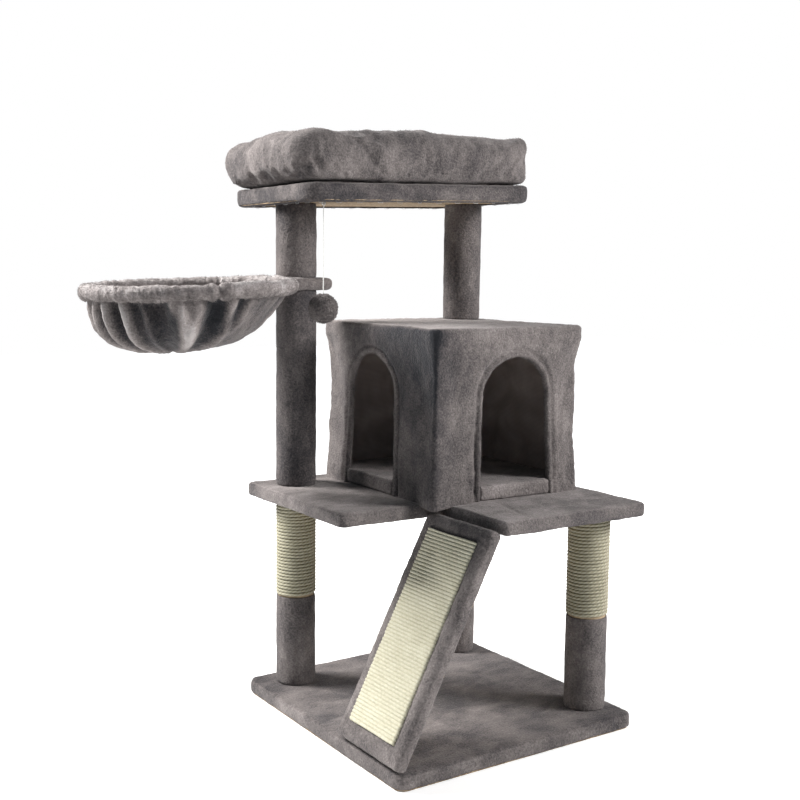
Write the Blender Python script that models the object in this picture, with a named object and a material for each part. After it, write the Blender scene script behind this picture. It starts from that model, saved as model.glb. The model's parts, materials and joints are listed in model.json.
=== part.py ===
"""Plush cat tree: base, three lower posts, corner platform, ramp, condo, hammock and top perch.

Metres, +Z up. The origin is the middle of the base's underside, +X along the base's short front
edge and +Y towards its back. Pieces that touch keep a gap of GAP between their surfaces.
"""
import math

import bmesh
import bpy
from mathutils import Matrix, Vector

# Driving dimensions
BASE_WIDTH = 0.500
BASE_DEPTH = 0.524
BASE_HEIGHT = 0.0267
BASE_CORNER = 0.018
BASE_HEM = 0.0008
PLUSH = 0.003
GAP = 0.0003

POST_RADIUS = 0.037
TUBE_RADIUS = 0.0337
TUBE_WALL = 0.0045
PLUG_HEIGHT = 0.022
STUD_RADIUS = 0.004
STUD_REACH = 0.018
STUD_CLEARANCE = 0.0007
PLUG_CLEARANCE = 0.0006
BOLT_HEAD_RADIUS = 0.0095
BOLT_HEAD_HEIGHT = 0.0040
BOLT_RECESS_RADIUS = 0.0105
BOLT_RECESS_DEPTH = 0.0065
BOLT_HEAD_LIFT = 0.0020
LEFT_POST = (-0.1767, 0.2039)
RIGHT_POST = (0.2009, -0.1856)
REAR_POST = (0.1930, 0.1930)
SISAL_START = 0.195

PLATFORM_BOTTOM = 0.3811
PLATFORM_TOP = 0.4050
PLATFORM_X = (-0.2466, 0.2640)
PLATFORM_Y = (-0.2634, 0.2692)
NOTCH_X = -0.0518
NOTCH_Y = -0.0765
PLATFORM_CORNER = 0.010
BOARD_ROUNDING = 0.007

CONDO_X = (-0.0930, 0.2420)
CONDO_Y = (-0.1170, 0.2520)
CONDO_FLOOR_TOP = 0.4320
ROOF_BOTTOM = 0.6800
ROOF_TOP = 0.7070
CONDO_CORNER = 0.012
ROOF_ROUNDING = 0.010
FLOOR_ROUNDING = 0.004
WALL_INSET = 0.002
WALL_PLUSH = 0.0045
WALL_LINER = 0.0030
WALL_PULL = 0.009
WALL_PULL_AT_FOOT = 0.003
WALL_PULL_PEAK = 0.72
ARCH_HALF_WIDTH = 0.0725
ARCH_FLARE = 0.006
ARCH_TOP = 0.6545
ARCH_TRIM = 0.011
ARCH_FOOT_GAP = 0.0006
TRIM_INNER_LIP = 0.0005
TRIM_OUTER_LIP = 0.0020
FRONT_ARCH_X = 0.0900
LEFT_ARCH_Y = 0.0880

RAMP_FOOT_X = -0.2565
RAMP_FOOT_Z = 0.0366
RAMP_Y = (-0.2600, -0.0780)
RAMP_SLOPE = math.radians(62.8)
RAMP_LENGTH = 0.402
RAMP_THICKNESS = 0.0205
RAMP_CORNER = 0.009
RAMP_ROUNDING = 0.006
MAT_WIDTH = 0.128
MAT_START = 0.033
MAT_LENGTH = 0.340
MAT_THICKNESS = 0.004
MAT_CORNER = 0.004
STRAP_WIDTH = 0.018
STRAP_THICKNESS = 0.002
STRAP_INSET = 0.045
STRAP_DROP = 0.012
STRAP_LEG = 0.035
STRAP_BEND = 0.012
STRAP_FOOT = 0.028

BRACKET_BOTTOM = 0.7643
BRACKET_TOP = 0.7870
BRACKET_HALF_WIDTH = 0.045
BRACKET_ROUND_X = 0.0265
BRACKET_CLEARANCE = 0.004
HAMMOCK_TURN = math.radians(8.0)
HAMMOCK_REACH = 0.2255
HAMMOCK_TILT = math.radians(2.8)
HOOP_RADIUS = 0.171
HOOP_WIRE = 0.0028
RIM_RADIUS = 0.0130
RIM_HOLLOW = 0.0075
RIM_OPENING = math.radians(15.0)
RING_X = -RIM_RADIUS - HOOP_RADIUS
PRONG_Y = 0.020
PRONG_REACH = 0.0235
PRONG_CLEARANCE = 0.0006
BOWL_DEPTH = 0.106
BOWL_WALL = 0.0045
BOWL_INSET = 0.006
BOWL_FULLNESS = 0.62
BOWL_DROP = 1.25

PERCH_X = (-0.2380, 0.2500)
PERCH_Y = (0.0440, 0.3430)
PERCH_BOTTOM = 0.9200
PERCH_HEIGHT = 0.0300
PERCH_HEM = 0.0015
PERCH_TILT = math.radians(2.0)
PERCH_CORNER = 0.032
PERCH_ROUNDING = 0.011
BOLSTER_HEIGHT = 0.0877
BOLSTER_WIDTH = 0.062
BOLSTER_BULGE = 0.008
BOLSTER_SHIFT = 0.012
BOLSTER_FOOT_INSET = 0.004

TOY_X = -0.1920
TOY_Y = 0.0780
TOY_PIVOT_Z = 0.9150
TOY_BALL_Z = 0.7350
TOY_BALL_RADIUS = 0.0260
CORD_RADIUS = 0.0009
LOOP_RADIUS = 0.0030
LOOP_CORD_RADIUS = 0.0008
CORD_START = 0.0042
STAPLE_WIRE = 0.0007
STAPLE_HALF_WIDTH = 0.006

ROUND_SIDES = 24
SMALL_SIDES = 12
LEAST_CORNER = 0.008
SMOOTH_ANGLE = math.radians(35.0)


def new_material(name, color, roughness, metallic=0.0):
    material = bpy.data.materials.new(name)
    material.use_nodes = True
    shader = material.node_tree.nodes["Principled BSDF"]
    shader.inputs["Base Color"].default_value = (*color, 1.0)
    shader.inputs["Roughness"].default_value = roughness
    shader.inputs["Metallic"].default_value = metallic
    return material


def clear_scene():
    for obj in list(bpy.data.objects):
        bpy.data.objects.remove(obj)


def add_piece(name, shape, material, parent=None):
    """Turns a bmesh into a named object in its parent's frame."""
    bmesh.ops.recalc_face_normals(shape, faces=shape.faces)
    mesh = bpy.data.meshes.new(name)
    shape.to_mesh(mesh)
    shape.free()
    mesh.shade_smooth()
    mesh.set_sharp_from_angle(angle=SMOOTH_ANGLE)
    mesh.materials.append(material)
    piece = bpy.data.objects.new(name, mesh)
    bpy.context.collection.objects.link(piece)
    piece.parent = parent
    return piece


def add_empty(name, location, rotation=(0.0, 0.0, 0.0), parent=None):
    empty = bpy.data.objects.new(name, None)
    empty.location = location
    empty.rotation_euler = rotation
    empty.parent = parent
    bpy.context.collection.objects.link(empty)
    return empty


def cut(piece, *cutters):
    """Takes each cutter's shape away from the piece."""
    for cutter in cutters:
        modifier = piece.modifiers.new("cut_" + cutter.name, "BOOLEAN")
        modifier.operation = "DIFFERENCE"
        modifier.object = cutter


def add_cutter(name, shape, parent=None):
    """A hidden guide that only shapes other pieces."""
    bmesh.ops.recalc_face_normals(shape, faces=shape.faces)
    mesh = bpy.data.meshes.new(name)
    shape.to_mesh(mesh)
    shape.free()
    cutter = bpy.data.objects.new(name, mesh)
    cutter.hide_render = True
    cutter.display_type = "WIRE"
    cutter.parent = parent
    bpy.context.collection.objects.link(cutter)
    return cutter


def loft(rings, closed=False):
    """Joins rings of equal point count; the ends are capped unless the loft closes on itself."""
    shape = bmesh.new()
    rows = [[shape.verts.new(point) for point in ring] for ring in rings]
    pairs = list(zip(rows, rows[1:]))
    if closed:
        pairs.append((rows[-1], rows[0]))
    for low, high in pairs:
        count = len(low)
        for index in range(count):
            after = (index + 1) % count
            shape.faces.new((low[index], low[after], high[after], high[index]))
    if not closed:
        shape.faces.new(list(reversed(rows[0])))
        shape.faces.new(rows[-1])
    return shape


def circle(radius, sides, center=(0.0, 0.0)):
    turns = [2.0 * math.pi * index / sides for index in range(sides)]
    return [(center[0] + radius * math.cos(t), center[1] + radius * math.sin(t)) for t in turns]


def at_height(outline, z):
    return [(x, y, z) for x, y in outline]


def cylinder(radius, low, high, sides=ROUND_SIDES, center=(0.0, 0.0)):
    outline = circle(radius, sides, center)
    return loft([at_height(outline, low), at_height(outline, high)])


def pipe(outer, inner, low, high, sides=ROUND_SIDES):
    """A round tube standing along Z."""
    outside = circle(outer, sides)
    inside = circle(inner, sides)
    rings = [at_height(outside, low), at_height(outside, high)]
    rings += [at_height(inside, high), at_height(inside, low)]
    return loft(rings, closed=True)


def rounded_outline(corners, radius, steps=3):
    """Counter-clockwise outline through the corners, each one turned by an arc."""
    outline = []
    count = len(corners)
    for index, corner in enumerate(corners):
        here = Vector(corner)
        back = (Vector(corners[index - 1]) - here).normalized()
        ahead = (Vector(corners[(index + 1) % count]) - here).normalized()
        half = back.angle(ahead) / 2.0
        start = here + back * radius / math.tan(half)
        stop = here + ahead * radius / math.tan(half)
        middle = here + (back + ahead).normalized() * radius / math.sin(half)
        for step in range(steps + 1):
            spot = start.lerp(stop, step / steps) - middle
            spot = middle + spot.normalized() * radius
            outline.append((spot.x, spot.y))
    return outline


def rectangle(x_range, y_range):
    return [
        (x_range[0], y_range[0]),
        (x_range[1], y_range[0]),
        (x_range[1], y_range[1]),
        (x_range[0], y_range[1]),
    ]


def grown_rectangle(x_range, y_range, radius, grow):
    """Rounded rectangle moved outwards by grow, or inwards if negative, its corners never sharp."""
    wide = (x_range[0] - grow, x_range[1] + grow)
    deep = (y_range[0] - grow, y_range[1] + grow)
    return rounded_outline(rectangle(wide, deep), max(radius + grow, LEAST_CORNER))


def offset(outline, distance):
    """Moves every side of a counter-clockwise outline outwards, or inwards if negative."""
    moved = []
    count = len(outline)
    for index, point in enumerate(outline):
        here = Vector(point)
        before = (here - Vector(outline[index - 1])).normalized()
        after = (Vector(outline[(index + 1) % count]) - here).normalized()
        tangent = (before + after).normalized()
        normal = Vector((tangent.y, -tangent.x))
        stretch = math.sqrt((1.0 + before.dot(after)) / 2.0)
        spot = here + normal * distance / stretch
        moved.append((spot.x, spot.y))
    return moved


def slab(outline, low, high):
    return loft([at_height(outline, low), at_height(outline, high)])


def edge_rings(outline, high, rounding, steps=3):
    """Rings that turn an upright side over into a flat top."""
    rings = []
    for step in range(steps + 1):
        turn = math.pi / 2.0 * step / steps
        inward = -rounding * (1.0 - math.cos(turn))
        rings.append(at_height(offset(outline, inward), high - rounding * (1.0 - math.sin(turn))))
    return rings


def cap_cover(outline, low, high, thickness, rounding):
    """Fabric drawn over a board: top and sides, open underneath."""
    inner = offset(outline, -thickness)
    rings = [at_height(inner, high - thickness), at_height(inner, low), at_height(outline, low)]
    return loft(rings + edge_rings(outline, high, rounding))


def stud_hole(name, post, low, high, parent=None):
    """Bore for a stud on a post's axis."""
    return add_cutter(name, cylinder(STUD_RADIUS + STUD_CLEARANCE, low, high, SMALL_SIDES, post), parent)


def build_base(finish):
    corners = rectangle((-BASE_WIDTH / 2, BASE_WIDTH / 2), (-BASE_DEPTH / 2, BASE_DEPTH / 2))
    outline = rounded_outline(corners, BASE_CORNER)
    board = slab(offset(outline, -PLUSH - GAP), 0.0, BASE_HEIGHT - PLUSH - GAP)
    board = add_piece("base_board", board, finish["particle_board"])
    cover = cap_cover(outline, BASE_HEM, BASE_HEIGHT, PLUSH, BOARD_ROUNDING)
    cover = add_piece("base_cover", cover, finish["plush"])
    for name, post in (("left", LEFT_POST), ("right", RIGHT_POST), ("rear", REAR_POST)):
        hole = stud_hole(name + "_base_hole", post, -0.01, BASE_HEIGHT + 0.01)
        recess = cylinder(BOLT_RECESS_RADIUS, -0.01, BOLT_RECESS_DEPTH, SMALL_SIDES, post)
        cut(board, hole, add_cutter(name + "_bolt_recess", recess))
        cut(cover, hole)
        add_piece(name + "_base_bolt", base_bolt(post), finish["steel"])


def base_bolt(post):
    """Flat-headed bolt, its head sunk in the base's underside."""
    shaft = circle(STUD_RADIUS, SMALL_SIDES, post)
    head = circle(BOLT_HEAD_RADIUS, SMALL_SIDES, post)
    shoulder = BOLT_HEAD_LIFT + BOLT_HEAD_HEIGHT
    rings = [at_height(head, BOLT_HEAD_LIFT), at_height(head, shoulder), at_height(shaft, shoulder)]
    return loft(rings + [at_height(shaft, BASE_HEIGHT + STUD_REACH)])


def build_post(name, post, low, high, stud_top, finish, sisal_from=None):
    """Cardboard tube with a plug in each end, in a plush sleeve and, on lower posts, sisal rope."""
    axis = add_empty(name + "_axis", (post[0], post[1], 0.0))
    bottom = low + GAP
    top = high - GAP
    tube = pipe(TUBE_RADIUS, TUBE_RADIUS - TUBE_WALL, bottom, top)
    add_piece(name + "_tube", tube, finish["cardboard"], axis)
    plug_radius = TUBE_RADIUS - TUBE_WALL - GAP
    plug = pipe(plug_radius, STUD_RADIUS + PLUG_CLEARANCE, bottom, bottom + PLUG_HEIGHT)
    add_piece(name + "_bottom_plug", plug, finish["plug"], axis)
    add_piece(name + "_top_plug", studded_plug(plug_radius, top, stud_top), finish["plug"], axis)
    sleeve_top = top if sisal_from is None else sisal_from - GAP
    sleeve = pipe(POST_RADIUS, TUBE_RADIUS + GAP, bottom, sleeve_top)
    add_piece(name + "_plush_sleeve", sleeve, finish["plush"], axis)
    if sisal_from is not None:
        wrap = pipe(POST_RADIUS, TUBE_RADIUS + GAP, sisal_from, top)
        add_piece(name + "_sisal_wrap", wrap, finish["sisal"], axis)


def studded_plug(radius, top, stud_top):
    """Plug with a threaded stud fixed in it, which stands out of the post's top."""
    disc = circle(radius, ROUND_SIDES)
    stud = circle(STUD_RADIUS, ROUND_SIDES)
    rings = [at_height(disc, top - PLUG_HEIGHT), at_height(disc, top)]
    return loft(rings + [at_height(stud, top), at_height(stud, stud_top)])


def build_platform(finish):
    corners = [
        (NOTCH_X, PLATFORM_Y[0]),
        (PLATFORM_X[1], PLATFORM_Y[0]),
        (PLATFORM_X[1], PLATFORM_Y[1]),
        (PLATFORM_X[0], PLATFORM_Y[1]),
        (PLATFORM_X[0], NOTCH_Y),
        (NOTCH_X, NOTCH_Y),
    ]
    outline = rounded_outline(corners, PLATFORM_CORNER)
    board = slab(offset(outline, -PLUSH - GAP), PLATFORM_BOTTOM, PLATFORM_TOP - PLUSH - GAP)
    board = add_piece("platform_board", board, finish["particle_board"])
    cover = cap_cover(outline, PLATFORM_BOTTOM, PLATFORM_TOP, PLUSH, BOARD_ROUNDING)
    cover = add_piece("platform_cover", cover, finish["plush"])
    for name, post in (("left", LEFT_POST), ("right", RIGHT_POST), ("rear", REAR_POST)):
        hole = stud_hole(name + "_platform_hole", post, PLATFORM_BOTTOM - 0.01, PLATFORM_TOP + 0.01)
        cut(board, hole)
        if name != "right":
            cut(cover, hole)


def wall_pull(z):
    """How far the soft walls draw in: slightly at the foot, most under the roof's overhang."""
    share = min(max((z - PLATFORM_TOP) / (ROOF_BOTTOM - PLATFORM_TOP), 0.0), 1.0)
    if share < WALL_PULL_PEAK:
        rise = math.sin(math.pi / 2.0 * share / WALL_PULL_PEAK)
        return WALL_PULL_AT_FOOT + (WALL_PULL - WALL_PULL_AT_FOOT) * rise
    return WALL_PULL * math.cos(math.pi / 2.0 * (share - WALL_PULL_PEAK) / (1.0 - WALL_PULL_PEAK))


def condo_outline(inset):
    return grown_rectangle(CONDO_X, CONDO_Y, CONDO_CORNER, -inset)


def wall_rings(inset, low, high, steps=6):
    rings = []
    for step in range(steps + 1):
        z = low + (high - low) * step / steps
        rings.append(at_height(condo_outline(inset + wall_pull(z)), z))
    return rings


def wall_shell(outer, inner, low, high):
    outside = wall_rings(outer, low, high)
    inside = wall_rings(inner, low, high)
    return loft(outside + list(reversed(inside)), closed=True)


def arch_path(extra, steps=8):
    """Half-open doorway outline as (sideways, height), from one foot over the top to the other."""
    spring = ARCH_TOP - ARCH_HALF_WIDTH
    foot = CONDO_FLOOR_TOP + ARCH_FOOT_GAP
    radius = ARCH_HALF_WIDTH + extra
    path = [(radius + ARCH_FLARE, foot), (radius + ARCH_FLARE / 3, (foot + spring) / 2)]
    for step in range(steps + 1):
        turn = math.pi * step / steps
        path.append((radius * math.cos(turn), spring + radius * math.sin(turn)))
    path += [(-radius - ARCH_FLARE / 3, (foot + spring) / 2), (-radius - ARCH_FLARE, foot)]
    return path


def arch_cutter(name, place):
    """Straight prism through a wall; place maps sideways, outwards and height to world."""
    path = arch_path(ARCH_TRIM + GAP)
    near = [place(side, 0.03, height) for side, height in path]
    far = [place(side, -0.05, height) for side, height in path]
    return add_cutter(name, loft([near, far]))


def arch_trim(name, place, finish):
    """Padded binding around a doorway, which follows the wall as it draws in."""
    outer_path = arch_path(ARCH_TRIM)
    inner_path = arch_path(0.0)
    depth = WALL_PLUSH + WALL_LINER
    rings = []
    for (out_side, out_high), (in_side, in_high) in zip(outer_path, inner_path):
        out_wall = -wall_pull(out_high)
        in_wall = -wall_pull(in_high)
        rings.append([
            place(out_side, out_wall + TRIM_OUTER_LIP, out_high),
            place(in_side, in_wall + TRIM_INNER_LIP, in_high),
            place(in_side, in_wall - depth - TRIM_INNER_LIP, in_high),
            place(out_side, out_wall - depth - TRIM_OUTER_LIP, out_high),
        ])
    add_piece(name, loft(rings), finish["plush"])


def in_front_wall(side, out, height):
    return (FRONT_ARCH_X + side, CONDO_Y[0] + WALL_INSET - out, height)


def in_left_wall(side, out, height):
    return (CONDO_X[0] + WALL_INSET - out, LEFT_ARCH_Y - side, height)


def build_condo(finish):
    build_condo_floor(finish)
    low = PLATFORM_TOP + GAP
    high = ROOF_BOTTOM - GAP
    middle = WALL_INSET + WALL_PLUSH
    skin = wall_shell(WALL_INSET, middle, low, high)
    skin = add_piece("condo_wall_skin", skin, finish["plush"])
    liner = wall_shell(middle + GAP, middle + WALL_LINER, low, high)
    liner = add_piece("condo_wall_liner", liner, finish["liner"])
    front = arch_cutter("front_arch_cut", in_front_wall)
    left = arch_cutter("left_arch_cut", in_left_wall)
    cut(skin, front, left)
    cut(liner, front, left)
    arch_trim("condo_front_trim", in_front_wall, finish)
    arch_trim("condo_left_trim", in_left_wall, finish)
    build_condo_roof(finish)


def build_condo_floor(finish):
    pull = wall_pull(CONDO_FLOOR_TOP)
    inside = condo_outline(WALL_INSET + WALL_PLUSH + WALL_LINER + pull + GAP)
    board = slab(offset(inside, -PLUSH - GAP), PLATFORM_TOP + GAP, CONDO_FLOOR_TOP - PLUSH - GAP)
    board = add_piece("condo_floor_board", board, finish["particle_board"])
    cover = cap_cover(inside, PLATFORM_TOP + GAP, CONDO_FLOOR_TOP, PLUSH, FLOOR_ROUNDING)
    add_piece("condo_floor_cover", cover, finish["plush"])
    cut(board, stud_hole("condo_floor_hole", REAR_POST, PLATFORM_TOP - 0.01, CONDO_FLOOR_TOP))


def build_condo_roof(finish):
    outline = condo_outline(0.0)
    board = slab(offset(outline, -PLUSH - GAP), ROOF_BOTTOM, ROOF_TOP - PLUSH - GAP)
    board = add_piece("condo_roof_board", board, finish["particle_board"])
    cover = cap_cover(outline, ROOF_BOTTOM, ROOF_TOP, PLUSH, ROOF_ROUNDING)
    cover = add_piece("condo_roof_cover", cover, finish["plush"])
    hole = stud_hole("roof_hole", REAR_POST, ROOF_BOTTOM - 0.01, ROOF_TOP + 0.01)
    cut(board, hole)
    cut(cover, hole)
    top = ROOF_TOP + STUD_REACH
    head = circle(BOLT_HEAD_RADIUS, SMALL_SIDES, REAR_POST)
    shaft = circle(STUD_RADIUS, SMALL_SIDES, REAR_POST)
    under = ROOF_BOTTOM - GAP
    rings = [at_height(head, under - BOLT_HEAD_HEIGHT), at_height(head, under), at_height(shaft, under)]
    add_piece("roof_bolt", loft(rings + [at_height(shaft, top)]), finish["steel"])


def ramp_frame():
    """Frame on the ramp's upper face: +X up the slope, +Y across, +Z out of the face."""
    middle = (RAMP_Y[0] + RAMP_Y[1]) / 2.0
    return add_empty("ramp_frame", (RAMP_FOOT_X, middle, RAMP_FOOT_Z), (0.0, -RAMP_SLOPE, 0.0))


def build_ramp(finish):
    frame = ramp_frame()
    half = (RAMP_Y[1] - RAMP_Y[0]) / 2.0
    outline = rounded_outline(rectangle((0.0, RAMP_LENGTH), (-half, half)), RAMP_CORNER)
    board = slab(offset(outline, -PLUSH - GAP), -RAMP_THICKNESS, -PLUSH - GAP)
    add_piece("ramp_board", board, finish["particle_board"], frame)
    cover = cap_cover(outline, -RAMP_THICKNESS, 0.0, PLUSH, RAMP_ROUNDING)
    add_piece("ramp_cover", cover, finish["plush"], frame)
    mat = rectangle((MAT_START, MAT_START + MAT_LENGTH), (-MAT_WIDTH / 2, MAT_WIDTH / 2))
    mat = slab(rounded_outline(mat, MAT_CORNER, 2), GAP, MAT_THICKNESS)
    add_piece("ramp_sisal_mat", mat, finish["sisal"], frame)
    build_ramp_brackets(finish)


def build_ramp_brackets(finish):
    """Two steel straps that hang the ramp's back from the underside of the platform."""
    back = Vector((math.sin(RAMP_SLOPE), 0.0, -math.cos(RAMP_SLOPE)))
    along = Vector((math.cos(RAMP_SLOPE), 0.0, math.sin(RAMP_SLOPE)))
    foot = Vector((RAMP_FOOT_X, 0.0, RAMP_FOOT_Z))
    surface = foot + back * (RAMP_THICKNESS + GAP)
    under = PLATFORM_BOTTOM - GAP
    reach = (under - STRAP_DROP - surface.z) / along.z
    bend = surface + along * reach
    low = bend - along * STRAP_LEG
    near = Vector((bend.x + STRAP_BEND, 0.0, under))
    far = near + Vector((STRAP_FOOT, 0.0, 0.0))
    down = Vector((0.0, 0.0, -STRAP_THICKNESS))
    profile = [low, bend, near, far, far + down, near + down + Vector((0.75 * STRAP_THICKNESS, 0.0, 0.0))]
    profile += [bend + back * STRAP_THICKNESS, low + back * STRAP_THICKNESS]
    for name, y in (("near", RAMP_Y[0] + STRAP_INSET), ("far", RAMP_Y[1] - STRAP_INSET)):
        sides = (y - STRAP_WIDTH / 2.0, y + STRAP_WIDTH / 2.0)
        rings = [[(point.x, side, point.z) for point in profile] for side in sides]
        add_piece("ramp_strap_" + name, loft(rings), finish["steel"])


def build_hammock(finish):
    turn = add_empty("hammock_axis", (*LEFT_POST, 0.0), (0.0, 0.0, HAMMOCK_TURN))
    height = (BRACKET_BOTTOM + BRACKET_TOP) / 2.0
    edge = HAMMOCK_REACH - RIM_RADIUS - HOOP_RADIUS
    bowl_frame = add_empty("bowl_frame", (-edge, 0.0, height), (0.0, -HAMMOCK_TILT, 0.0), turn)
    build_bracket(turn, bowl_frame, finish)
    add_piece("hammock_hoop", hoop_wire(), finish["steel"], bowl_frame)
    add_piece("hammock_rim", rim_roll(), finish["plush"], bowl_frame)
    add_piece("hammock_bowl", bowl_shell(), finish["plush"], bowl_frame)


def bracket_outline(grow):
    """Board around the post: straight towards the hammock, half-round on the other side."""
    half = BRACKET_HALF_WIDTH + grow
    left = -(POST_RADIUS + BRACKET_CLEARANCE)
    outline = [(left, half), (left, -half)]
    for step in range(9):
        turn = -math.pi / 2.0 + math.pi * step / 8
        outline.append((BRACKET_ROUND_X + half * math.cos(turn), half * math.sin(turn)))
    return outline


def build_bracket(turn, bowl_frame, finish):
    board = slab(bracket_outline(-PLUSH - GAP), BRACKET_BOTTOM + PLUSH + GAP, BRACKET_TOP - PLUSH - GAP)
    board = add_piece("bracket_board", board, finish["particle_board"], turn)
    outer = slab(bracket_outline(0.0), BRACKET_BOTTOM + GAP, BRACKET_TOP - GAP)
    cover = add_piece("bracket_cover", outer, finish["plush"], turn)
    pocket = bracket_outline(-PLUSH)
    pocket = [(x - 0.01, y) if index < 2 else (x, y) for index, (x, y) in enumerate(pocket)]
    pocket = slab(pocket, BRACKET_BOTTOM + PLUSH, BRACKET_TOP - PLUSH)
    cut(cover, add_cutter("bracket_pocket", pocket, turn))
    hole = stud_hole("bracket_hole", (0.0, 0.0), BRACKET_BOTTOM - 0.01, BRACKET_TOP + 0.01, turn)
    cut(board, hole)
    cut(cover, hole)
    for side, y in (("near", -PRONG_Y), ("far", PRONG_Y)):
        shape = cylinder(HOOP_WIRE + PRONG_CLEARANCE, -0.010, PRONG_REACH + 0.0015, SMALL_SIDES)
        lay_down = Matrix.Translation((0.0, y, 0.0)) @ Matrix.Rotation(math.pi / 2.0, 4, "Y")
        bmesh.ops.transform(shape, matrix=lay_down, verts=shape.verts)
        cut(board, add_cutter("prong_socket_" + side, shape, bowl_frame))


def hoop_path():
    """From one prong, round the ring the long way, to the other prong, in the bowl's frame."""
    start = 1.25 * math.asin(PRONG_Y / HOOP_RADIUS)
    path = [(PRONG_REACH, PRONG_Y), (-0.003, PRONG_Y)]
    steps = 32
    for step in range(steps + 1):
        turn = start + 2.0 * (math.pi - start) * step / steps
        path.append((RING_X + HOOP_RADIUS * math.cos(turn), HOOP_RADIUS * math.sin(turn)))
    return path + [(-0.003, -PRONG_Y), (PRONG_REACH, -PRONG_Y)]


def sweep(path, section):
    """Carries a section (outwards, upwards) along a level path; returns its rings."""
    rings = []
    last = len(path) - 1
    for index, point in enumerate(path):
        ahead = Vector(path[min(index + 1, last)]) - Vector(path[max(index - 1, 0)])
        ahead.normalize()
        outward = Vector((ahead.y, -ahead.x))
        rings.append([
            (point[0] + outward.x * out, point[1] + outward.y * out, up) for out, up in section
        ])
    return rings


def hoop_wire():
    return loft(sweep(hoop_path(), circle(HOOP_WIRE, 6)))


def rim_roll():
    """Padded roll around the wire, open where the wire leaves for the bracket."""
    rings = []
    steps = 30
    for radius in (RIM_RADIUS, RIM_HOLLOW):
        path = []
        for step in range(steps + 1):
            turn = RIM_OPENING + (2.0 * math.pi - 2.0 * RIM_OPENING) * step / steps
            path.append((RING_X + HOOP_RADIUS * math.cos(turn), HOOP_RADIUS * math.sin(turn)))
        rings.append(sweep(path, circle(radius, 8)))
    return tunnel(rings[0], rings[1])


def tunnel(outer, inner):
    """A hollow tube with open ends, from matching outer and inner rings."""
    return loft(outer + list(reversed(inner)), closed=True)


def bowl_profile():
    """Outer line of the hanging bowl as (radius, height below the wire), rim to middle."""
    top = -RIM_RADIUS - GAP
    points = []
    steps = 6
    for step in range(steps + 1):
        turn = math.pi / 2.0 * step / steps
        radius = (HOOP_RADIUS - BOWL_INSET) * math.cos(turn) ** BOWL_FULLNESS
        height = top - (BOWL_DEPTH + top) * math.sin(turn) ** BOWL_DROP
        points.append((max(radius, 0.004), height))
    return points


def bowl_shell():
    outside = bowl_profile()
    inside = []
    for index, (radius, height) in enumerate(outside):
        share = index / (len(outside) - 1)
        inside.append((max(radius - BOWL_WALL * (1.3 - share), 0.003), height + BOWL_WALL * share))
    sides = 30
    rings = []
    for radius, height in list(reversed(outside)) + inside:
        rings.append(at_height(circle(radius, sides, (RING_X, 0.0)), height))
    return loft(rings)


def perch_underside(x):
    """Height of the perch board's underside, which rises towards +X."""
    return PERCH_BOTTOM + (x - TOY_X) * math.tan(PERCH_TILT)


def post_top_under_perch(post):
    """A level post end that just clears the tilted board at the board's lower side."""
    return perch_underside(post[0] - POST_RADIUS)


def build_perch(finish):
    """Tray and bolster, modelled level in a frame that tilts about the toy's staple."""
    frame = add_empty("perch_frame", (TOY_X, 0.0, PERCH_BOTTOM), (0.0, -PERCH_TILT, 0.0))
    outline = perch_outline(0.0)
    board = slab(offset(outline, -PLUSH - GAP), 0.0, PERCH_HEIGHT - PLUSH - GAP)
    board = add_piece("perch_board", board, finish["particle_board"], frame)
    cover = cap_cover(outline, PERCH_HEM, PERCH_HEIGHT, PLUSH, PERCH_ROUNDING)
    add_piece("perch_cover", cover, finish["plush"], frame)
    for name, post in (("left", LEFT_POST), ("rear", REAR_POST)):
        low = perch_underside(post[0])
        cut(board, stud_hole(name + "_perch_hole", post, low - 0.01, low + PERCH_HEIGHT + 0.01))
    add_piece("perch_bolster", bolster_ring(), finish["plush"], frame)


def perch_outline(grow, shift=0.0):
    """The tray's outline in the perch frame, grown and moved towards -X."""
    x_range = [x - TOY_X - shift for x in PERCH_X]
    return grown_rectangle(x_range, PERCH_Y, PERCH_CORNER, grow)


def bolster_ring():
    """Padded wall around the bed: flat underneath, crowned on top, fuller and slumped to the outside."""
    low = PERCH_HEIGHT + GAP
    middle = -BOLSTER_WIDTH / 2.0
    half = BOLSTER_WIDTH / 2.0 + BOLSTER_BULGE / 2.0
    rings = [at_height(perch_outline(-BOLSTER_FOOT_INSET), low)]
    steps = 8
    for step in range(steps + 1):
        turn = -0.5 + (math.pi + 1.0) * step / steps
        bulge = BOLSTER_BULGE / 2.0 if math.cos(turn) > 0.0 else 0.0
        out = middle + bulge + (half - (0.0 if bulge else BOLSTER_BULGE / 2.0)) * math.cos(turn)
        up = 0.45 + 0.55 * math.sin(turn)
        shift = BOLSTER_SHIFT * math.sin(math.pi * min(up, 1.0))
        rings.append(at_height(perch_outline(out, shift), low + BOLSTER_HEIGHT * up))
    rings.append(at_height(perch_outline(-BOLSTER_WIDTH + BOLSTER_FOOT_INSET), low))
    return loft(rings, closed=True)


def build_toy(finish):
    pivot = add_empty("toy_pivot", (TOY_X, TOY_Y, TOY_PIVOT_Z))
    add_piece("toy_staple", toy_staple(), finish["steel"])
    loop = loft(toy_loop(), closed=True)
    add_piece("toy_loop", loop, finish["cord"], pivot)
    add_toy_cord(finish)
    ball = bmesh.new()
    bmesh.ops.create_uvsphere(ball, u_segments=14, v_segments=8, radius=TOY_BALL_RADIUS)
    bmesh.ops.translate(ball, verts=ball.verts, vec=(0.0, 0.0, TOY_BALL_Z - TOY_PIVOT_Z))
    add_piece("toy_ball", ball, finish["plush"], pivot)


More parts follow.
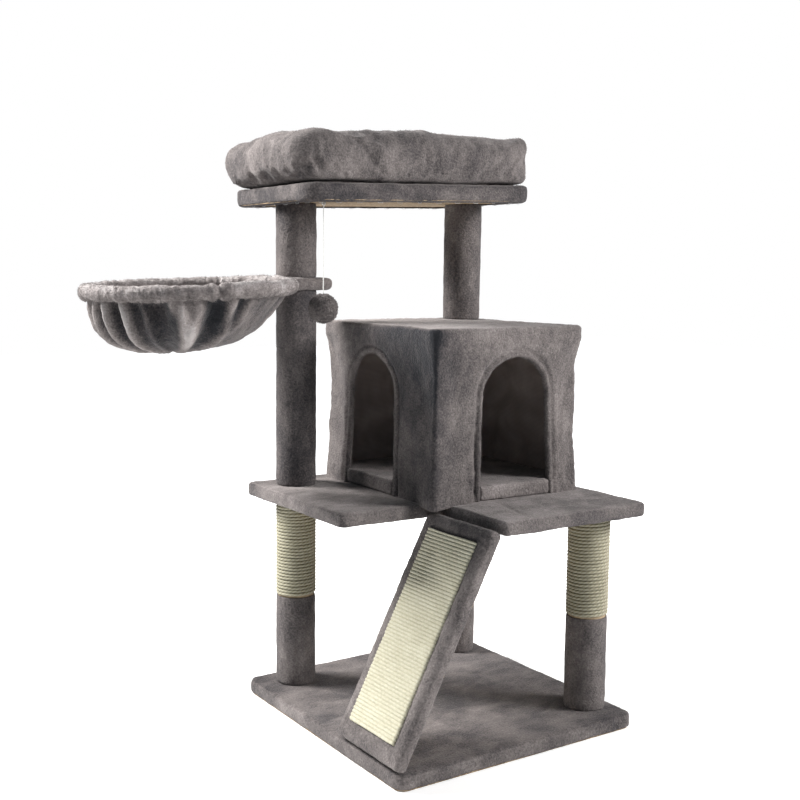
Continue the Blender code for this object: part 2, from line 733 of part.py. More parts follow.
def toy_staple():
    """U-shaped wire under the perch board; its crown runs along Y through the pivot."""
    top = PERCH_BOTTOM - 2 * GAP
    path = [
        (STAPLE_HALF_WIDTH, top),
        (STAPLE_HALF_WIDTH, TOY_PIVOT_Z + 0.001),
        (STAPLE_HALF_WIDTH - 0.001, TOY_PIVOT_Z),
    ]
    path += [(-y, z) for y, z in reversed(path)]
    rings = []
    last = len(path) - 1
    for index, (y, z) in enumerate(path):
        ahead = Vector(path[min(index + 1, last)]) - Vector(path[max(index - 1, 0)])
        ahead.normalize()
        rings.append([
            (TOY_X + out, TOY_Y + y + ahead.y * up, z - ahead.x * up)
            for out, up in circle(STAPLE_WIRE, 8)
        ])
    return loft(rings)


def toy_loop():
    """Loop of cord around the staple's crown, in the XZ plane, centred on the pivot."""
    rings = []
    for index in range(SMALL_SIDES):
        turn = 2.0 * math.pi * index / SMALL_SIDES
        rings.append([
            ((LOOP_RADIUS + out) * math.cos(turn), up, (LOOP_RADIUS + out) * math.sin(turn))
            for out, up in circle(LOOP_CORD_RADIUS, 6)
        ])
    return rings


def cord_points():
    """The cord hangs straight from just under the loop to the ball."""
    top = TOY_PIVOT_Z - CORD_START
    bottom = TOY_BALL_Z + TOY_BALL_RADIUS + GAP
    steps = 36
    return [(TOY_X, TOY_Y, top + (bottom - top) * step / steps) for step in range(steps + 1)]


def add_toy_cord(finish):
    curve = bpy.data.curves.new("toy_cord", "CURVE")
    curve.dimensions = "3D"
    curve.bevel_depth = CORD_RADIUS
    curve.bevel_resolution = 2
    curve.use_fill_caps = True
    points = cord_points()
    spline = curve.splines.new("POLY")
    spline.points.add(len(points) - 1)
    for target, point in zip(spline.points, points):
        target.co = (*point, 1.0)
    curve.materials.append(finish["cord"])
    bpy.context.collection.objects.link(bpy.data.objects.new("toy_cord", curve))


def build_posts(finish):
    inside = PLUSH + 2 * GAP
    through = STUD_REACH
    lower = (BASE_HEIGHT, PLATFORM_BOTTOM)
    left_stud = PLATFORM_TOP + through
    right_stud = PLATFORM_TOP - inside
    rear_stud = CONDO_FLOOR_TOP - inside
    left_top = post_top_under_perch(LEFT_POST)
    rear_top = post_top_under_perch(REAR_POST)
    into_perch = PERCH_HEIGHT - inside - GAP
    build_post("left_lower_post", LEFT_POST, *lower, left_stud, finish, SISAL_START)
    build_post("right_lower_post", RIGHT_POST, *lower, right_stud, finish, SISAL_START)
    build_post("rear_lower_post", REAR_POST, *lower, rear_stud, finish, SISAL_START)
    middle = (PLATFORM_TOP, BRACKET_BOTTOM)
    build_post("left_middle_post", LEFT_POST, *middle, BRACKET_TOP + through, finish)
    build_post("left_upper_post", LEFT_POST, BRACKET_TOP, left_top, left_top + into_perch, finish)
    build_post("rear_upper_post", REAR_POST, ROOF_TOP, rear_top, rear_top + into_perch, finish)


def main():
    clear_scene()
    finish = {
        "plush": new_material("plush", (0.19, 0.17, 0.165), 0.95),
        "sisal": new_material("sisal", (0.55, 0.52, 0.38), 0.9),
        "particle_board": new_material("particle_board", (0.40, 0.28, 0.17), 0.8),
        "cardboard": new_material("cardboard", (0.45, 0.34, 0.22), 0.85),
        "plug": new_material("plug", (0.30, 0.30, 0.30), 0.6),
        "liner": new_material("liner", (0.12, 0.105, 0.10), 0.9),
        "steel": new_material("steel", (0.62, 0.62, 0.64), 0.35, 1.0),
        "cord": new_material("cord", (0.80, 0.80, 0.78), 0.8),
    }
    build_base(finish)
    build_posts(finish)
    build_platform(finish)
    build_condo(finish)
    build_ramp(finish)
    build_hammock(finish)
    build_perch(finish)
    build_toy(finish)


main()
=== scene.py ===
import json
import math

import bmesh
import bpy
import numpy as np
from mathutils import Matrix, Vector


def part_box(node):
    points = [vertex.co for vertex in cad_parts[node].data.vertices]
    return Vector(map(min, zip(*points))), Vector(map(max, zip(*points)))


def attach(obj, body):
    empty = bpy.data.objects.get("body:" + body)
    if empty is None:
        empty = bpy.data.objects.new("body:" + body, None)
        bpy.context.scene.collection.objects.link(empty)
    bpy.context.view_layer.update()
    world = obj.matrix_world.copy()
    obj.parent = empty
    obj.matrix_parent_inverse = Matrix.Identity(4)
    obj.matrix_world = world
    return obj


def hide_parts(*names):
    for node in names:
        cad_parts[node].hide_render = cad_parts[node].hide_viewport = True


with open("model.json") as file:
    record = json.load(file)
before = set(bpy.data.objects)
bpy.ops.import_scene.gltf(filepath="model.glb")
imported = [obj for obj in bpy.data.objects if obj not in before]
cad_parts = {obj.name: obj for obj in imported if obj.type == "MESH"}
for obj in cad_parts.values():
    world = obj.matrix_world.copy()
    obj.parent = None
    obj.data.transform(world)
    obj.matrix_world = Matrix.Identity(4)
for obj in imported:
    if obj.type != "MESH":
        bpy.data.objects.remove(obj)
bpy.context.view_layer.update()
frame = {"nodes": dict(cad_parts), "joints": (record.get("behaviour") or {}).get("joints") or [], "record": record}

# Looks of the plush cat tree, built around its CAD frame. Metres, row frame, +Z up.

# Design sizes that the frame's boxes don't give directly
PLUSH = 0.003
BASE_CORNER = 0.018
PLATFORM_CORNER = 0.010
NOTCH = (-0.0518, -0.0765)
CONDO_CORNER = 0.017
WALL_PULL = 0.009
WALL_PULL_AT_FOOT = 0.003
WALL_PULL_PEAK = 0.72
ARCH_HALF_WIDTH = 0.0725
ARCH_FLARE = 0.006
ARCH_TOP = 0.6545
ARCH_TRIM = 0.011
FRONT_ARCH_X = 0.0900
LEFT_ARCH_Y = 0.0880
RAMP_FOOT = (-0.2565, -0.1690, 0.0366)
RAMP_SLOPE = math.radians(62.8)
RAMP_LENGTH = 0.402
RAMP_HALF_WIDTH = 0.091
RAMP_THICKNESS = 0.0205
RAMP_CORNER = 0.009
MAT_START = 0.033
MAT_LENGTH = 0.340
MAT_HALF_WIDTH = 0.064
HOOP_RADIUS = 0.171
RIM_RADIUS = 0.0130
HAMMOCK_TILT = math.radians(2.8)
BOWL_DEPTH = 0.106
SAG_TURN = 148.5
PERCH_PIVOT = (-0.1920, 0.0, 0.9200)
PERCH_X = (-0.0460, 0.4420)
PERCH_Y = (0.0440, 0.3430)
PERCH_TILT = math.radians(2.0)
PERCH_HEIGHT = 0.0300
PERCH_CORNER = 0.032
BOLSTER_HEIGHT = 0.0880
BOLSTER_WIDTH = 0.062
BOLSTER_BULGE = 0.008
BOLSTER_SHIFT = 0.012
GAP = 0.0003
CORD_RADIUS = 0.0009
CORD_STRANDS = 2
CORD_TWIST = 0.008

# Viewpoint: place in metres, turns in degrees, focal length in millimetres
CAMERA_PLACE = (-1.2012, -1.6715, 0.8017)
CAMERA_YAW_PITCH_ROLL = (33.8152, 6.384, 0.6329)
CAMERA_LENS = 52.03

# Rope, mat, rim, bowl, bracket and sleeves
ROPE_PITCH = 0.0060
ROPE_RADIUS = 0.0031
ROPE_STRANDS = 3
ROPE_TWIST = 0.024
ROPE_STEPS_A_TURN = 112
RIB_PITCH = 0.0060
RIM_KNOT = math.radians(253.5)
BRACKET_HALF_WIDTH = 0.045
BRACKET_START = -0.041
BRACKET_ROUND_MIDDLE = 0.0265
SLEEVE_SEAM = math.radians(48.0)

# Cloth thicknesses, hems, mesh spacings and standing pile
COVER_CLOTH = 0.0016
CONDO_CLOTH = 0.0035
LINER_CLOTH = 0.0012
LINER_INSET = 0.0062
BOWL_CLOTH = 0.0036
MAT_CLOTH = 0.0014
CONDO_ROLL = 0.0078
PLATFORM_HEM = 0.022
RAMP_HEM = 0.020
PERCH_HEM = 0.024
VOXEL = 0.0034
CONDO_SPACING = 0.0032
LINER_SPACING = 0.0055
DOOR_HEM = ARCH_TRIM * 0.45
TURNED_UNDER = 0.0045
PILE_WIDTH = 0.00042
PILE_ROOT = 0.0006
PILE_LEAN = (0.0, 0.0, -0.35)

nodes = frame["nodes"]
boxes = {name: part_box(name) for name in nodes}


# ---------------------------------------------------------------- numbers and meshes

def noise(points, size, seed=0):
    """Smooth random field from -1 to 1 whose features are about size metres across."""
    spot = points / size + 13.7 * seed
    cell = np.floor(spot).astype(np.int64)
    part = spot - cell
    part = part * part * (3.0 - 2.0 * part)
    total = np.zeros(len(points))
    for corner in range(8):
        step = np.array([corner & 1, corner >> 1 & 1, corner >> 2 & 1])
        mixed = ((cell + step) * np.array([73856093, 19349663, 83492791])).sum(1) + seed * 7919
        mixed = (mixed ^ (mixed >> 13)) * 1274126177 & 0xFFFFFFFF
        mixed = (mixed ^ (mixed >> 15)) * 668265263 & 0xFFFFFFFF
        value = (mixed >> 8 & 0xFFFF) / 32767.5 - 1.0
        total += value * np.prod(np.where(step, part, 1.0 - part), axis=1)
    return total


def clamp(value):
    return np.clip(value, 0.0, 1.0)


def bell(away, width):
    """1 in the middle, falling away smoothly to either side."""
    return np.exp(-((away / width) ** 2))


def plush_relief(points, seed, lumps=0.0011, dents=0.0007, tufts=0.0005):
    """Height of the pile: broad lumps, finger-wide dents and small tufts."""
    height = lumps * noise(points, 0.055, seed)
    height += dents * noise(points, 0.019, seed + 1)
    height += tufts * noise(points, 0.0062, seed + 2)
    return height


def board_relief(points, seed):
    """The same pile where a board lies close underneath, so it never dips far."""
    return np.maximum(plush_relief(points, seed, 0.0008, 0.0005, 0.0005), -0.0010)


def read_points(mesh):
    flat = np.zeros(len(mesh.vertices) * 3, np.float32)
    mesh.vertices.foreach_get("co", flat)
    return flat.reshape(-1, 3).astype(float)


def read_normals(mesh):
    flat = np.zeros(len(mesh.vertices) * 3, np.float32)
    mesh.vertex_normals.foreach_get("vector", flat)
    return flat.reshape(-1, 3).astype(float)


def write_points(mesh, points):
    mesh.vertices.foreach_set("co", points.astype(np.float32).ravel())
    mesh.update()


def grid_faces(rows, columns, wrap_rows=False, wrap_columns=True):
    row = np.arange(rows if wrap_rows else rows - 1)[:, None]
    column = np.arange(columns if wrap_columns else columns - 1)
    after = (column + 1) % columns
    above = (row + 1) % rows
    corners = [row * columns + column, row * columns + after]
    corners += [above * columns + after, above * columns + column]
    return np.stack(corners, -1).reshape(-1, 4)


def facing_out(mesh):
    shape = bmesh.new()
    shape.from_mesh(mesh)
    bmesh.ops.recalc_face_normals(shape, faces=shape.faces)
    shape.to_mesh(mesh)
    shape.free()
    return mesh


def new_mesh(name, points, faces, caps=(), outward=True):
    """Mesh of quads, with any closing faces last; outward turns every face out."""
    mesh = bpy.data.meshes.new(name)
    faces = np.asarray(faces).tolist() + [list(cap) for cap in caps]
    mesh.from_pydata(np.asarray(points).tolist(), [], faces)
    return facing_out(mesh) if outward else mesh


def add_piece(name, mesh, material, body, slot, *stands_for):
    """Links a finished mesh, smooth shaded, to its CAD body, in place of the named nodes. The slot argument is not
    used.
    """
    mesh.shade_smooth()
    mesh.materials.clear()
    mesh.materials.append(material)
    piece = bpy.data.objects.new(name, mesh)
    bpy.context.scene.collection.objects.link(piece)
    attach(piece, body)
    if stands_for:
        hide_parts(*stands_for)
    return piece


def evaluated(mesh, *modifiers):
    """The mesh after modifiers, each given as (type, {setting: value})."""
    holder = bpy.data.objects.new("holder", mesh)
    bpy.context.scene.collection.objects.link(holder)
    for kind, settings in modifiers:
        modifier = holder.modifiers.new(kind, kind)
        for key, value in settings.items():
            setattr(modifier, key, value)
    graph = bpy.context.evaluated_depsgraph_get()
    result = bpy.data.meshes.new_from_object(holder.evaluated_get(graph))
    bpy.data.objects.remove(holder)
    return result


def even_skin(mesh, voxel=VOXEL, smoothing=5):
    """Even quads over a rough solid, its edges softened."""
    remesh = ("REMESH", {"mode": "VOXEL", "voxel_size": voxel})
    smooth = ("SMOOTH", {"factor": 0.5, "iterations": smoothing})
    return evaluated(mesh, remesh, smooth)


def thickened(mesh, thickness, offset=-1.0):
    return evaluated(mesh, ("SOLIDIFY", {"thickness": thickness, "offset": offset, "use_even_offset": False}))


def placed(mesh, matrix):
    mesh.transform(matrix)
    mesh.update()
    return mesh


def crease(points, normals, start, end, depth, width):
    """Presses a valley along the line from start to end, faded at both ends."""
    start = np.array(start)
    along = np.array(end) - start
    share = clamp((points - start) @ along / (along @ along))
    away = np.linalg.norm(points - start - share[:, None] * along, axis=1)
    fade = 0.35 + 0.65 * np.sin(math.pi * share)
    return points - normals * (depth * fade * bell(away, width))[:, None]


def creased(points, normals, folds):
    """Presses each fold, given as (start, end, depth, width)."""
    for fold in folds:
        points = crease(points, normals, *fold)
    return points


def rounded_outline(corners, radius, steps=8):
    """Counter-clockwise outline through the corners, each turned by an arc."""
    outline = []
    count = len(corners)
    for index, corner in enumerate(corners):
        here = Vector(corner)
        back = (Vector(corners[index - 1]) - here).normalized()
        ahead = (Vector(corners[(index + 1) % count]) - here).normalized()
        half = back.angle(ahead) / 2.0
        start = here + back * radius / math.tan(half)
        stop = here + ahead * radius / math.tan(half)
        middle = here + (back + ahead).normalized() * radius / math.sin(half)
        for step in range(steps + 1):
            spot = start.lerp(stop, step / steps) - middle
            spot = middle + spot.normalized() * radius
            outline.append((spot.x, spot.y))
    return outline


def rectangle(x_range, y_range):
    low_x, high_x = x_range
    low_y, high_y = y_range
    return [(low_x, low_y), (high_x, low_y), (high_x, high_y), (low_x, high_y)]


def ring_at(loop, z):
    return np.column_stack([loop, np.full(len(loop), z)])


def rounded_slab(outline, low, high, top, bottom, steps=6):
    """Slab whose upright side turns over into its top and underside by quarter rounds."""
    loop = np.array(outline)
    out = outline_normals(loop)
    levels = []
    for step in range(steps + 1):
        turn = math.pi / 2.0 * step / steps
        levels.append((bottom * (1.0 - math.sin(turn)), low + bottom * (1.0 - math.cos(turn))))
    for step in range(steps + 1):
        turn = math.pi / 2.0 * step / steps
        levels.append((top * (1.0 - math.cos(turn)), high - top * (1.0 - math.sin(turn))))
    points = np.concatenate([ring_at(loop - out * inset, z) for inset, z in levels])
    caps = (range(len(loop)), range(len(points) - len(loop), len(points)))
    return new_mesh("slab", points, grid_faces(len(levels), len(loop)), caps)


def edge_distance(points, outline):
    """Distance in plan from each point to the nearest side of the outline."""
    best = np.full(len(points), 1e9)
    for index, corner in enumerate(outline):
        a = np.array(outline[index - 1])
        along = np.array(corner) - a
        share = clamp((points[:, :2] - a) @ along / max(along @ along, 1e-12))
        best = np.minimum(best, np.linalg.norm(points[:, :2] - a - share[:, None] * along, axis=1))
    return best


def delete_where(mesh, doomed_points):
    """Removes the faces whose points are all doomed."""
    shape = bmesh.new()
    shape.from_mesh(mesh)
    doomed = [face for face in shape.faces if all(doomed_points[vert.index] for vert in face.verts)]
    bmesh.ops.delete(shape, geom=doomed, context="FACES")
    shape.to_mesh(mesh)
    shape.free()
    return mesh


def inflate(mesh, pressure, most, slack, frames, pinned):
    """Cloth under air pressure with gravity off. Pinned points stay, and none moves further than most."""
    holder = bpy.data.objects.new("inflating", mesh)
    bpy.context.scene.collection.objects.link(holder)
    start = read_points(mesh)
    cloth = holder.modifiers.new("Cloth", "CLOTH")
    cloth.settings.quality = 6
    cloth.settings.use_pressure = True
    cloth.settings.uniform_pressure_force = pressure
    cloth.settings.effector_weights.gravity = 0.0
    cloth.settings.shrink_min = -slack
    cloth.point_cache.frame_start = 1
    cloth.point_cache.frame_end = frames
    group = holder.vertex_groups.new(name="pinned")
    group.add(np.nonzero(pinned)[0].tolist(), 1.0, "REPLACE")
    cloth.settings.vertex_group_mass = "pinned"
    for step in range(1, frames + 1):
        bpy.context.scene.frame_set(step)
    graph = bpy.context.evaluated_depsgraph_get()
    moved = read_points(holder.evaluated_get(graph).data) - start
    length = np.linalg.norm(moved, axis=1)
    moved *= np.minimum(1.0, most / np.maximum(length, 1e-9))[:, None]
    bpy.data.objects.remove(holder)
    bpy.context.scene.frame_set(1)
    write_points(mesh, start + moved)
    return mesh


def standing_pile(name, mesh, finish, body, count, seed, length):
    """Separate tufts that stand out of a plush surface: closed slivers rooted just under it."""
    mesh.calc_loop_triangles()
    corners = np.zeros(len(mesh.loop_triangles) * 3, np.int32)
    mesh.loop_triangles.foreach_get("vertices", corners)
    corners = read_points(mesh)[corners.reshape(-1, 3)]
    across = np.cross(corners[:, 1] - corners[:, 0], corners[:, 2] - corners[:, 0])
    area = np.linalg.norm(across, axis=1)
    normal = across / np.maximum(area, 1e-12)[:, None]
    chance = np.random.default_rng(seed)
    pick = chance.choice(len(area), count, p=area / area.sum())
    share = chance.random((count, 2))
    over = share.sum(1) > 1.0
    share[over] = 1.0 - share[over]
    root = corners[pick, 0] + share[:, :1] * (corners[pick, 1] - corners[pick, 0])
    root += share[:, 1:] * (corners[pick, 2] - corners[pick, 0])
    up = normal[pick] + np.array(PILE_LEAN) + chance.normal(0.0, 0.33, (count, 3))
    up /= np.linalg.norm(up, axis=1)[:, None]
    side = np.cross(up, chance.normal(0.0, 1.0, (count, 3)))
    side /= np.linalg.norm(side, axis=1)[:, None]
    other = np.cross(up, side)
    root -= normal[pick] * PILE_ROOT
    tall = length * chance.uniform(0.55, 1.15, count)[:, None]
    points = []
    for turn in (0.0, 2.1, 4.2):
        points.append(root + PILE_WIDTH * (math.cos(turn) * side + math.sin(turn) * other))
    points.append(root + up * tall)
    points = np.stack(points, 1).reshape(-1, 3)
    start = 4 * np.arange(count)[:, None]
    faces = np.concatenate([start + np.array(face) for face in ((0, 1, 3), (1, 2, 3), (2, 0, 3), (2, 1, 0))])
    return add_piece(name, new_mesh(name, points, faces, outward=False), finish["plush"], body, "plush")


# ---------------------------------------------------------------- materials

def new_material(name, roughness, specular=0.3, metallic=0.0):
    material = bpy.data.materials.new(name)
    material.use_nodes = True
    tree = material.node_tree
    shader = tree.nodes["Principled BSDF"]
    shader.inputs["Roughness"].default_value = roughness
    shader.inputs["Specular IOR Level"].default_value = specular
    shader.inputs["Metallic"].default_value = metallic
    return material, tree, shader


def object_place(tree, stretch=(1.0, 1.0, 1.0)):
    """Object coordinates, in metres, scaled along each axis."""
    place = tree.nodes.new("ShaderNodeTexCoord")
    mapping = tree.nodes.new("ShaderNodeMapping")
    mapping.inputs["Scale"].default_value = stretch
    tree.links.new(place.outputs["Object"], mapping.inputs["Vector"])
    return mapping.outputs["Vector"]


def noise_node(tree, vector, scale, detail=2.0, distortion=0.0, roughness=0.5):
    node = tree.nodes.new("ShaderNodeTexNoise")
    node.inputs["Scale"].default_value = scale
    node.inputs["Detail"].default_value = detail
    node.inputs["Roughness"].default_value = roughness
    node.inputs["Distortion"].default_value = distortion
    tree.links.new(vector, node.inputs["Vector"])
    return node.outputs["Fac"]


def math_node(tree, operation, first, second):
    node = tree.nodes.new("ShaderNodeMath")
    node.operation = operation
    for socket, value in zip(node.inputs, (first, second)):
        if isinstance(value, (int, float)):
            socket.default_value = value
        else:
            tree.links.new(value, socket)
    return node.outputs["Value"]


def weighted(tree, *parts):
    """Sum of (field, weight) pairs."""
    total = None
    for field, weight in parts:
        term = math_node(tree, "MULTIPLY", field, weight)
        total = term if total is None else math_node(tree, "ADD", total, term)
    return total


def ramp_node(tree, field, stops):
    node = tree.nodes.new("ShaderNodeValToRGB")
    elements = node.color_ramp.elements
    while len(elements) < len(stops):
        elements.new(0.5)
    for element, (position, color) in zip(elements, stops):
        element.position = position
        element.color = (*color, 1.0)
    tree.links.new(field, node.inputs["Fac"])
    return node.outputs["Color"]


def range_node(tree, field, low, high, start=0.25, end=0.75):
    node = tree.nodes.new("ShaderNodeMapRange")
    node.inputs["From Min"].default_value = start
    node.inputs["From Max"].default_value = end
    node.inputs["To Min"].default_value = low
    node.inputs["To Max"].default_value = high
    tree.links.new(field, node.inputs["Value"])
    return node.outputs["Result"]


def bump_node(tree, height, distance, strength=1.0, under=None):
    node = tree.nodes.new("ShaderNodeBump")
    node.inputs["Strength"].default_value = strength
    node.inputs["Distance"].default_value = distance
    tree.links.new(height, node.inputs["Height"])
    if under is not None:
        tree.links.new(under, node.inputs["Normal"])
    return node.outputs["Normal"]


def dressed(tree, shader, color, roughness, normal):
    for socket, value in (("Base Color", color), ("Roughness", roughness), ("Normal", normal)):
        tree.links.new(value, shader.inputs[socket])


def plush_material(name, stretch=(1.0, 1.0, 0.6)):
    """Short taupe-grey pile: fine grain all over, soft patches, and a stored tone that carries random tone plus
    painted light and shade.
    """
    material, tree, shader = new_material(name, 0.92, 0.10)
    place = object_place(tree, stretch)
    level = object_place(tree)
    patches = noise_node(tree, place, 8.5, 2.0, 0.8)
    swipes = range_node(tree, noise_node(tree, place, 13.0, 1.0, 2.2), 0.0, 1.0, 0.50, 0.57)
    streaks = noise_node(tree, place, 55.0, 2.0, 0.6)
    tufts = noise_node(tree, level, 300.0, 2.0, 0.4, 0.6)
    fibres = noise_node(tree, level, 950.0, 1.0)
    tone_and_painted_light = tree.nodes.new("ShaderNodeAttribute")
    tone_and_painted_light.attribute_name = "tone_and_painted_light"
    # The stored attribute paints light and shade into the colour: lighter on lit tops, rims and ridges, darker on
    # shaded walls, sides and folds.
    field = weighted(tree, (patches, 0.24), (streaks, 0.16), (tufts, 0.36), (fibres, 0.18), (swipes, 0.035),
                     (tone_and_painted_light.outputs["Fac"], 0.12))
    # The darkest, bluish stop and the lightest stop are mostly reached where that painted light and shade push the
    # field.
    stops = [
        (0.20, (0.022, 0.023, 0.027)),
        (0.34, (0.070, 0.063, 0.065)),
        (0.48, (0.160, 0.142, 0.138)),
        (0.62, (0.275, 0.246, 0.240)),
        (0.76, (0.420, 0.390, 0.385)),
    ]
    pile = bump_node(tree, weighted(tree, (tufts, 0.72), (fibres, 0.28)), 0.0030, 0.85)
    pile = bump_node(tree, streaks, 0.0030, 0.35, pile)
    dressed(tree, shader, ramp_node(tree, field, stops), range_node(tree, tufts, 0.84, 0.99), pile)
    shader.inputs["Sheen Weight"].default_value = 0.16
    shader.inputs["Sheen Roughness"].default_value = 0.45
    shader.inputs["Sheen Tint"].default_value = (0.90, 0.88, 0.88, 1.0)
    return material


def sisal_material(name, tone):
    """Pale fibre. The mesh gives each point its place on the rope, and a painted shade that darkens the gaps
    between strands and ribs.
    """
    material, tree, shader = new_material(name, 0.85, 0.22)
    strand = tree.nodes.new("ShaderNodeAttribute")
    strand.attribute_name = "fibre"
    painted_gap_shade = tree.nodes.new("ShaderNodeAttribute")
    painted_gap_shade.attribute_name = "painted_gap_shade"
    fibres = noise_node(tree, strand.outputs["Vector"], 1.0, 3.0, 0.4, 0.6)
    patches = noise_node(tree, object_place(tree), 28.0, 2.0, 0.5)
    grain = noise_node(tree, object_place(tree), 620.0, 2.0)
    # Low values of the stored painted shade draw the gaps between strands and ribs darker.
    field = weighted(tree, (fibres, 0.34), (patches, 0.14), (grain, 0.20), (painted_gap_shade.outputs["Fac"], 0.32))
    stops = [
        (0.22, (0.100, 0.085, 0.048)),
        (0.40, (0.330, 0.302, 0.200)),
        (0.58, (0.570, 0.540, 0.405)),
        (0.74, (0.720, 0.698, 0.565)),
    ]
    stops = [(position, [tone * value for value in color]) for position, color in stops]
    height = bump_node(tree, weighted(tree, (fibres, 0.7), (grain, 0.3)), 0.0010, 0.8)
    dressed(tree, shader, ramp_node(tree, field, stops), range_node(tree, fibres, 0.72, 0.95), height)
    shader.inputs["Sheen Weight"].default_value = 0.12
    shader.inputs["Sheen Roughness"].default_value = 0.5
    return material


def board_material():
    """Raw particle board: pressed chips of several browns."""
    material, tree, shader = new_material("particle_board_chips", 0.75, 0.25)
    place = object_place(tree)
    cells = tree.nodes.new("ShaderNodeTexVoronoi")
    cells.inputs["Scale"].default_value = 260.0
    tree.links.new(place, cells.inputs["Vector"])
    dust = noise_node(tree, place, 90.0, 4.0, 0.6, 0.6)
    chip = math_node(tree, "MULTIPLY", cells.outputs["Color"], 0.55)
    field = math_node(tree, "ADD", chip, math_node(tree, "MULTIPLY", dust, 0.45))
    stops = [(0.22, (0.150, 0.095, 0.052)), (0.48, (0.330, 0.235, 0.145)), (0.75, (0.520, 0.410, 0.275))]
    roughness = range_node(tree, dust, 0.62, 0.86)
    dressed(tree, shader, ramp_node(tree, field, stops), roughness, bump_node(tree, field, 0.0006, 0.5))
    return material


def grained_material(name, colors, scale, roughness, metallic=0.0, depth=0.0004, stretch=(1.0, 1.0, 1.0)):
    """Two tones mixed by noise at two scales, for cardboard, moulded plastic, wire and string."""
    material, tree, shader = new_material(name, roughness, 0.4, metallic)
    place = object_place(tree, stretch)
    broad = noise_node(tree, place, scale, 3.0, 0.5)
    fine = noise_node(tree, place, scale * 7.0, 2.0)
    field = weighted(tree, (broad, 0.6), (fine, 0.4))
    color = ramp_node(tree, field, [(0.35, colors[0]), (0.65, colors[1])])
    worn = range_node(tree, fine, roughness * 0.82, min(1.0, roughness * 1.15))
    dressed(tree, shader, color, worn, bump_node(tree, field, depth, 0.5))
    return material


def liner_material():
    """Flat woven backing inside the condo: a fine over-and-under weave, brown-grey."""
    material, tree, shader = new_material("liner_weave", 0.88, 0.15)
    place = object_place(tree)
    waves = []
    for direction in ("X", "Y", "Z"):
        wave = tree.nodes.new("ShaderNodeTexWave")
        wave.bands_direction = direction
        wave.inputs["Scale"].default_value = 130.0
        wave.inputs["Distortion"].default_value = 0.6
        wave.inputs["Detail"].default_value = 1.0
        tree.links.new(place, wave.inputs["Vector"])
        waves.append(wave.outputs["Fac"])
    weave = math_node(tree, "MULTIPLY", math_node(tree, "MAXIMUM", waves[0], waves[1]), waves[2])
    patches = noise_node(tree, place, 14.0, 3.0, 1.0)
    field = weighted(tree, (weave, 0.35), (patches, 0.65))
    stops = [(0.25, (0.200, 0.165, 0.157)), (0.50, (0.310, 0.262, 0.250)), (0.75, (0.430, 0.372, 0.352))]
    roughness = range_node(tree, patches, 0.80, 0.95)
    dressed(tree, shader, ramp_node(tree, field, stops), roughness, bump_node(tree, weave, 0.0006, 0.6))
    return material


def make_finishes():
    paper = ((0.33, 0.24, 0.15), (0.50, 0.39, 0.26))
    black = ((0.020, 0.020, 0.021), (0.045, 0.045, 0.047))
    zinc = ((0.50, 0.50, 0.52), (0.72, 0.72, 0.74))
    white = ((0.66, 0.66, 0.64), (0.86, 0.86, 0.84))
    return {
        "plush": plush_material("plush_pile"),
        "plush_level": plush_material("plush_pile_level", stretch=(0.55, 1.0, 1.0)),
        "sisal": sisal_material("sisal_rope_fibre", 0.70),
        "sisal_mat": sisal_material("sisal_mat_fibre", 0.88),
        "particle_board": board_material(),
        "cardboard": grained_material("cardboard_paper", paper, 60.0, 0.85),
        "plug": grained_material("plug_plastic", black, 120.0, 0.55),
        "liner": liner_material(),
        "steel": grained_material("zinc_wire", zinc, 200.0, 0.34, 1.0, 0.0001),
        "cord": grained_material("white_string", white, 400.0, 0.8),
    }


# ---------------------------------------------------------------- camera, light and floor

def make_camera():
    """In front of the ramp's corner, a little above the condo's roof, looking slightly down."""
    yaw, pitch, roll = (math.radians(angle) for angle in CAMERA_YAW_PITCH_ROLL)
    ahead = Vector((math.sin(yaw) * math.cos(pitch), math.cos(yaw) * math.cos(pitch), -math.sin(pitch)))
    right = Vector((math.cos(yaw), -math.sin(yaw), 0.0))
    up = right.cross(ahead)
    turned_right = right * math.cos(roll) + up * math.sin(roll)
    turned_up = up * math.cos(roll) - right * math.sin(roll)
    data = bpy.data.cameras.new("camera")
    data.sensor_width = 36.0
    data.lens = CAMERA_LENS
    camera = bpy.data.objects.new("camera", data)
    turn = Matrix((turned_right, turned_up, -ahead)).transposed().to_4x4()
    camera.matrix_world = Matrix.Translation(CAMERA_PLACE) @ turn
    bpy.context.scene.collection.objects.link(camera)
    bpy.context.scene.camera = camera


def area_light(name, place, aim, size, power, color):
    data = bpy.data.lights.new(name, "AREA")
    data.shape = "DISK"
    data.size = size
    data.energy = power
    data.color = color
    lamp = bpy.data.objects.new(name, data)
    lamp.location = place
    lamp.rotation_euler = (Vector(aim) - Vector(place)).to_track_quat("-Z", "Y").to_euler()
    bpy.context.scene.collection.objects.link(lamp)


